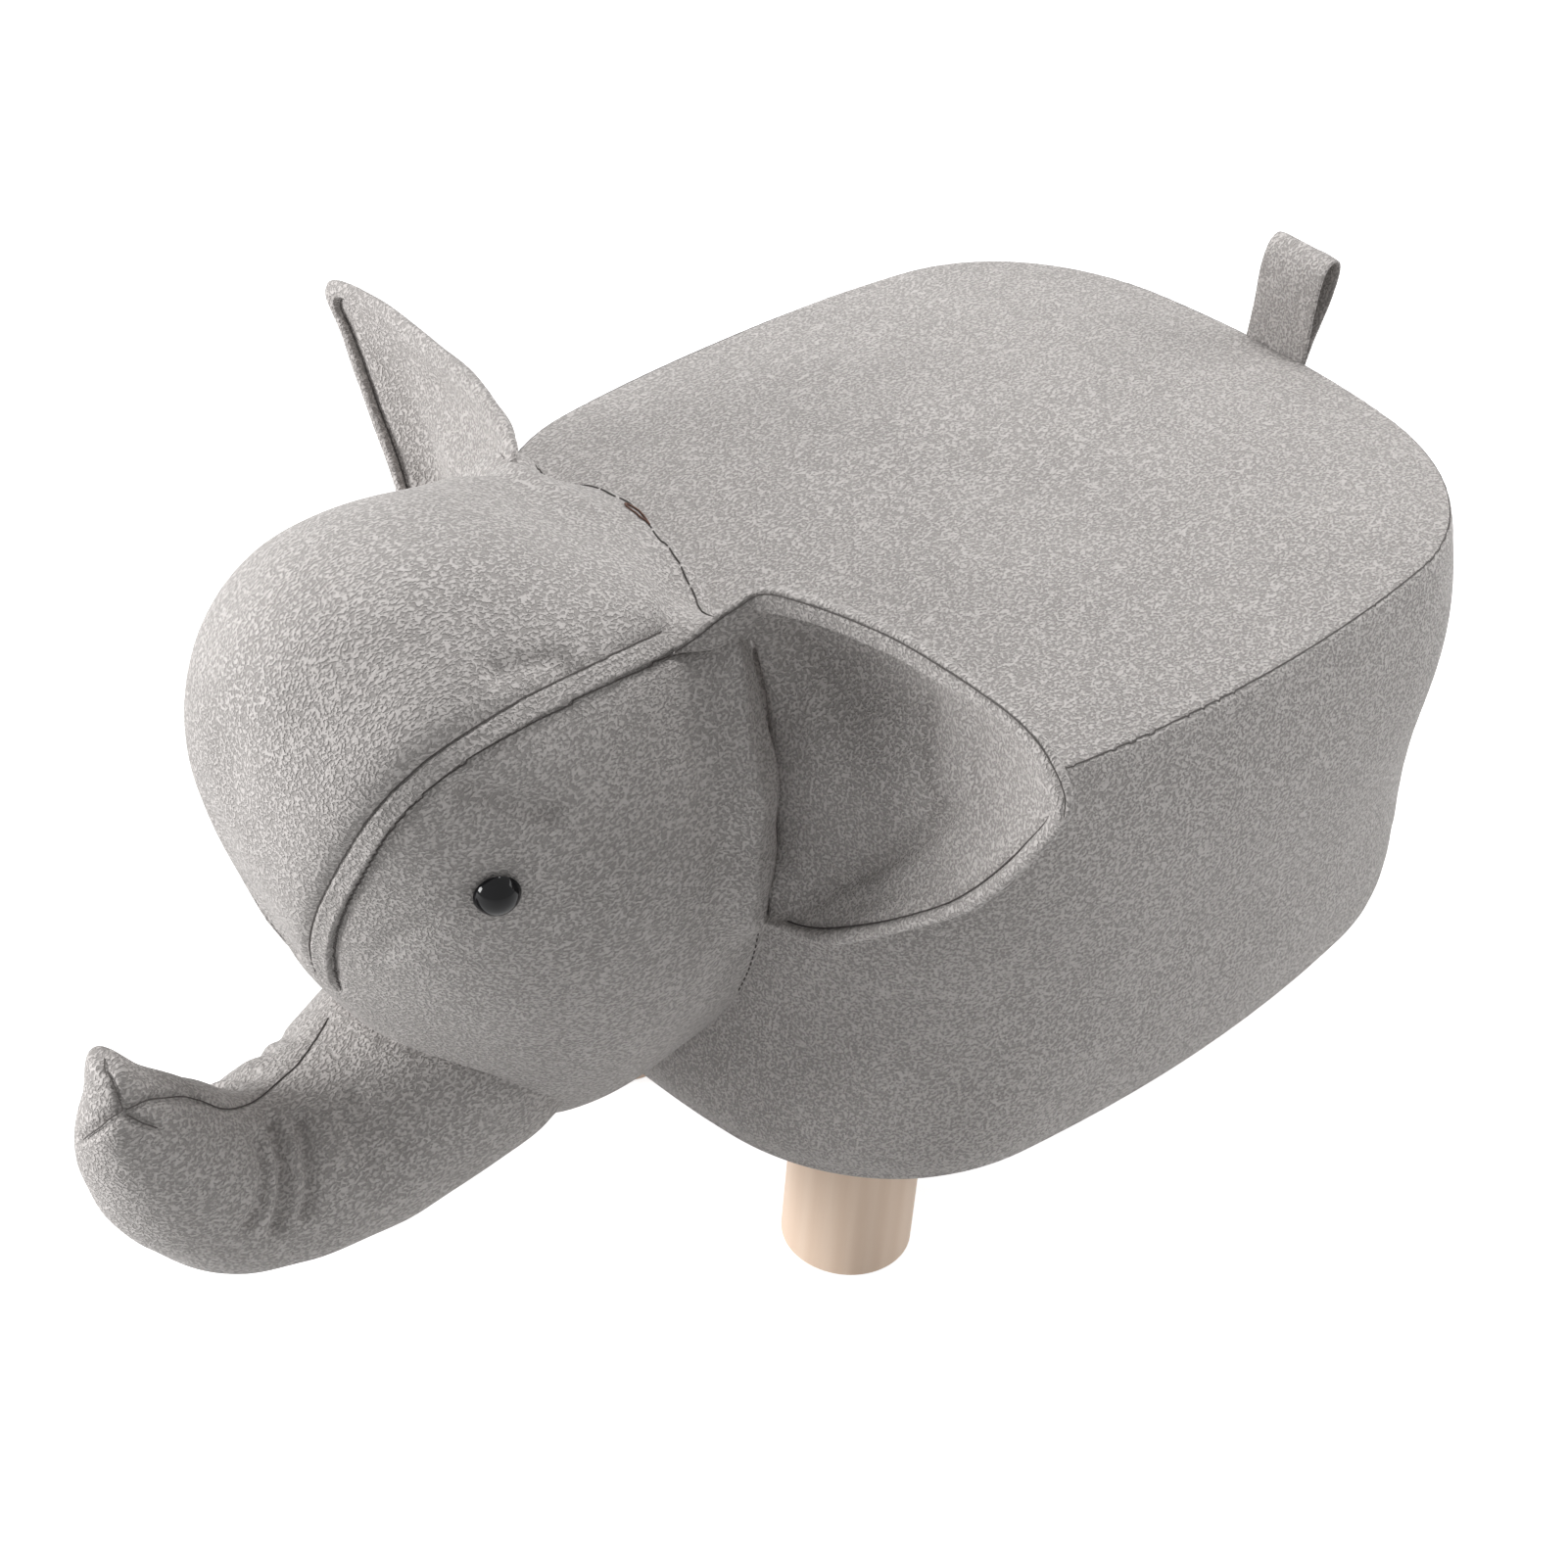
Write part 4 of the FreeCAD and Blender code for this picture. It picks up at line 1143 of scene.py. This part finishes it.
pale_wood = wood("pale_wood", (0.93, 0.74, 0.59), (0.85, 0.65, 0.50), 40.0, "z", 0.5)
plywood = wood("plywood", (0.60, 0.44, 0.28), (0.44, 0.30, 0.18), 30.0, "x", 0.65)
hardboard = wood("hardboard", (0.26, 0.16, 0.09), (0.19, 0.11, 0.06), 18.0, "x", 0.7)
print("woods", [material.name for material in (pale_wood, plywood, hardboard)])

# %% [markdown]
# The remaining pieces are small or hidden, but they are real and get their own finish: polished black
# plastic for the eyes, zinc plated steel, spun black cloth under the seat, foam, felt and white plastic.


# %% Small finishes
def fine_finish(name, colour, other, scale, roughness, depth, metal=0.0):
    """A finish with a fine random mottle in colour, gloss and surface."""
    material, add, inputs = new_material(name, colour, roughness)
    place = add("ShaderNodeTexCoord").outputs["Object"]
    speckle = add("ShaderNodeTexNoise", {"Vector": place, "Scale": scale, "Detail": 3.0}).outputs["Fac"]
    inputs["Metallic"].default_value = metal
    return dress(material, add, inputs, speckle, (other, colour),
                 {"Height": speckle, "Strength": 0.3, "Distance": depth * mm},
                 {"Value": speckle, "To Min": 0.8 * roughness, "To Max": 1.2 * roughness})


black_eye = fine_finish("black_eye", (0.006, 0.006, 0.007), (0.004, 0.004, 0.005), 300.0, 0.06, 0.005)
black_eye.node_tree.nodes["Principled BSDF"].inputs["Specular IOR Level"].default_value = 0.22
zinc_steel = fine_finish("zinc_steel", (0.62, 0.62, 0.64), (0.48, 0.48, 0.50), 400.0, 0.35, 0.03, 1.0)
black_cloth = fine_finish("black_cloth", (0.03, 0.03, 0.03), (0.012, 0.012, 0.012), 900.0, 0.9, 0.3)
brown_felt = fine_finish("brown_felt", (0.20, 0.17, 0.14), (0.11, 0.09, 0.075), 1200.0, 0.95, 0.4)
white_plastic = fine_finish("white_plastic", (0.78, 0.78, 0.76), (0.70, 0.70, 0.68), 200.0, 0.4, 0.02)
yellow_foam = fine_finish("yellow_foam", (0.80, 0.72, 0.48), (0.62, 0.54, 0.34), 700.0, 0.9, 0.6)
finishes = {"grey_suede": grey_suede, "pale_wood": pale_wood, "plywood": plywood, "hardboard": hardboard,
            "foam": yellow_foam, "black_cloth": black_cloth, "zinc_steel": zinc_steel, "black_eye": black_eye,
            "white_plastic": white_plastic, "felt": brown_felt}
for part in frame["record"]["subparts"]:
    node = frame["nodes"][part["node"]]
    node.data.materials.clear()
    node.data.materials.append(finishes[part["material_slot"]])

# %% [markdown]
# # Stage, light and camera
#
# The stool stands on plain white paper that fades into white. The paper's own light is seen only by the
# camera and by shiny things, so it doesn't change how the stool is lit, and the soft shadow stays.

# %% Floor and sky
white_by_camera, sky_light, sky_seen, floor_reach = 0.85, 0.33, 1.0, 6


def seen_directly(add):
    """One for rays from the camera, from shiny things and through clear ones, and zero for all others."""
    rays = add("ShaderNodeLightPath").outputs
    shiny = add("ShaderNodeMath", {0: rays["Is Camera Ray"], 1: rays["Is Glossy Ray"]}, operation="MAXIMUM")
    return add("ShaderNodeMath", {0: shiny.outputs[0], 1: rays["Is Transmission Ray"]},
               operation="MAXIMUM").outputs[0]


corners = [(x * floor_reach, y * floor_reach, 0) for x, y in ((-1, -1), (1, -1), (1, 1), (-1, 1))]
floor_mesh = bpy.data.meshes.new("floor")
floor_mesh.from_pydata(corners, [], [(0, 1, 2, 3)])
floor = bpy.data.objects.new("floor", floor_mesh)
bpy.context.scene.collection.objects.link(floor)
paper, add, inputs = new_material("white_paper", (0.62, 0.62, 0.62), 1.0)
glow = add("ShaderNodeMath", {0: seen_directly(add), 1: white_by_camera}, operation="MULTIPLY").outputs[0]
inputs["Emission Color"].default_value = (1, 1, 1, 1)
paper.node_tree.links.new(glow, inputs["Emission Strength"])
floor_mesh.materials.append(paper)
floor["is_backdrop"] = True

world = bpy.data.worlds.new("studio")
bpy.context.scene.world = world
world.use_nodes = True
add, sky = node_adder(world.node_tree), world.node_tree.nodes["Background"].inputs
sky["Color"].default_value = (1, 1, 1, 1)
level = add("ShaderNodeMapRange", {"Value": seen_directly(add), "To Min": sky_light, "To Max": sky_seen})
world.node_tree.links.new(level.outputs[0], sky["Strength"])
print("floor and sky ready")

# %% [markdown]
# Three large square lamps give soft light, as soft boxes do in a studio: one in front of the animal's right
# side, one above and a weaker one behind.


# %% Soft boxes
def soft_box(name, place, aim, size, power):
    """A large square lamp that points at the stool."""
    lamp = bpy.data.lights.new(name, "AREA")
    lamp.size = size
    lamp.energy = power
    light = bpy.data.objects.new(name, lamp)
    light.location = place
    light.rotation_euler = (Vector(aim) - Vector(place)).to_track_quat("-Z", "Y").to_euler()
    bpy.context.scene.collection.objects.link(light)


soft_box("front_box", (1.86, -0.97, 0.72), (0.05, 0.0, 0.25), 0.7, 43)
soft_box("top_box", (-0.6, -0.35, 2.33), (0.0, 0.0, 0.25), 0.7, 32)
soft_box("rear_box", (-1.76, 1.10, 0.98), (0.0, 0.0, 0.2), 1.2, 16)
print("lamps", [light.name for light in bpy.data.lights])

# %% [markdown]
# The camera stands in front of the animal's left side and looks down at it, a little tilted, as the
# photograph was taken. Its lens and place were found from the seat's outline.

# %% Camera
camera_place = Vector((0.6754, 0.6622, 0.9392))
camera_aim = Vector((-0.0166, -0.0012, 0.1816))
camera_roll = math.radians(4.90)
camera_lens = 71.96
lens = bpy.data.cameras.new("camera")
lens.lens = camera_lens
camera = bpy.data.objects.new("camera", lens)
bpy.context.scene.collection.objects.link(camera)
look = (camera_aim - camera_place).to_track_quat("-Z", "Y").to_matrix()
turned = look @ Matrix.Rotation(camera_roll, 3, "Z")
camera.matrix_world = Matrix.Translation(camera_place) @ turned.to_4x4()
bpy.context.scene.camera = camera
bpy.context.scene.view_settings.view_transform = "Standard"
print("camera", [round(v, 3) for v in camera.location])

# %% Sizes and the last call
low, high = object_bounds()
print("visual box", [round(v, 4) for v in (*low, *high)])
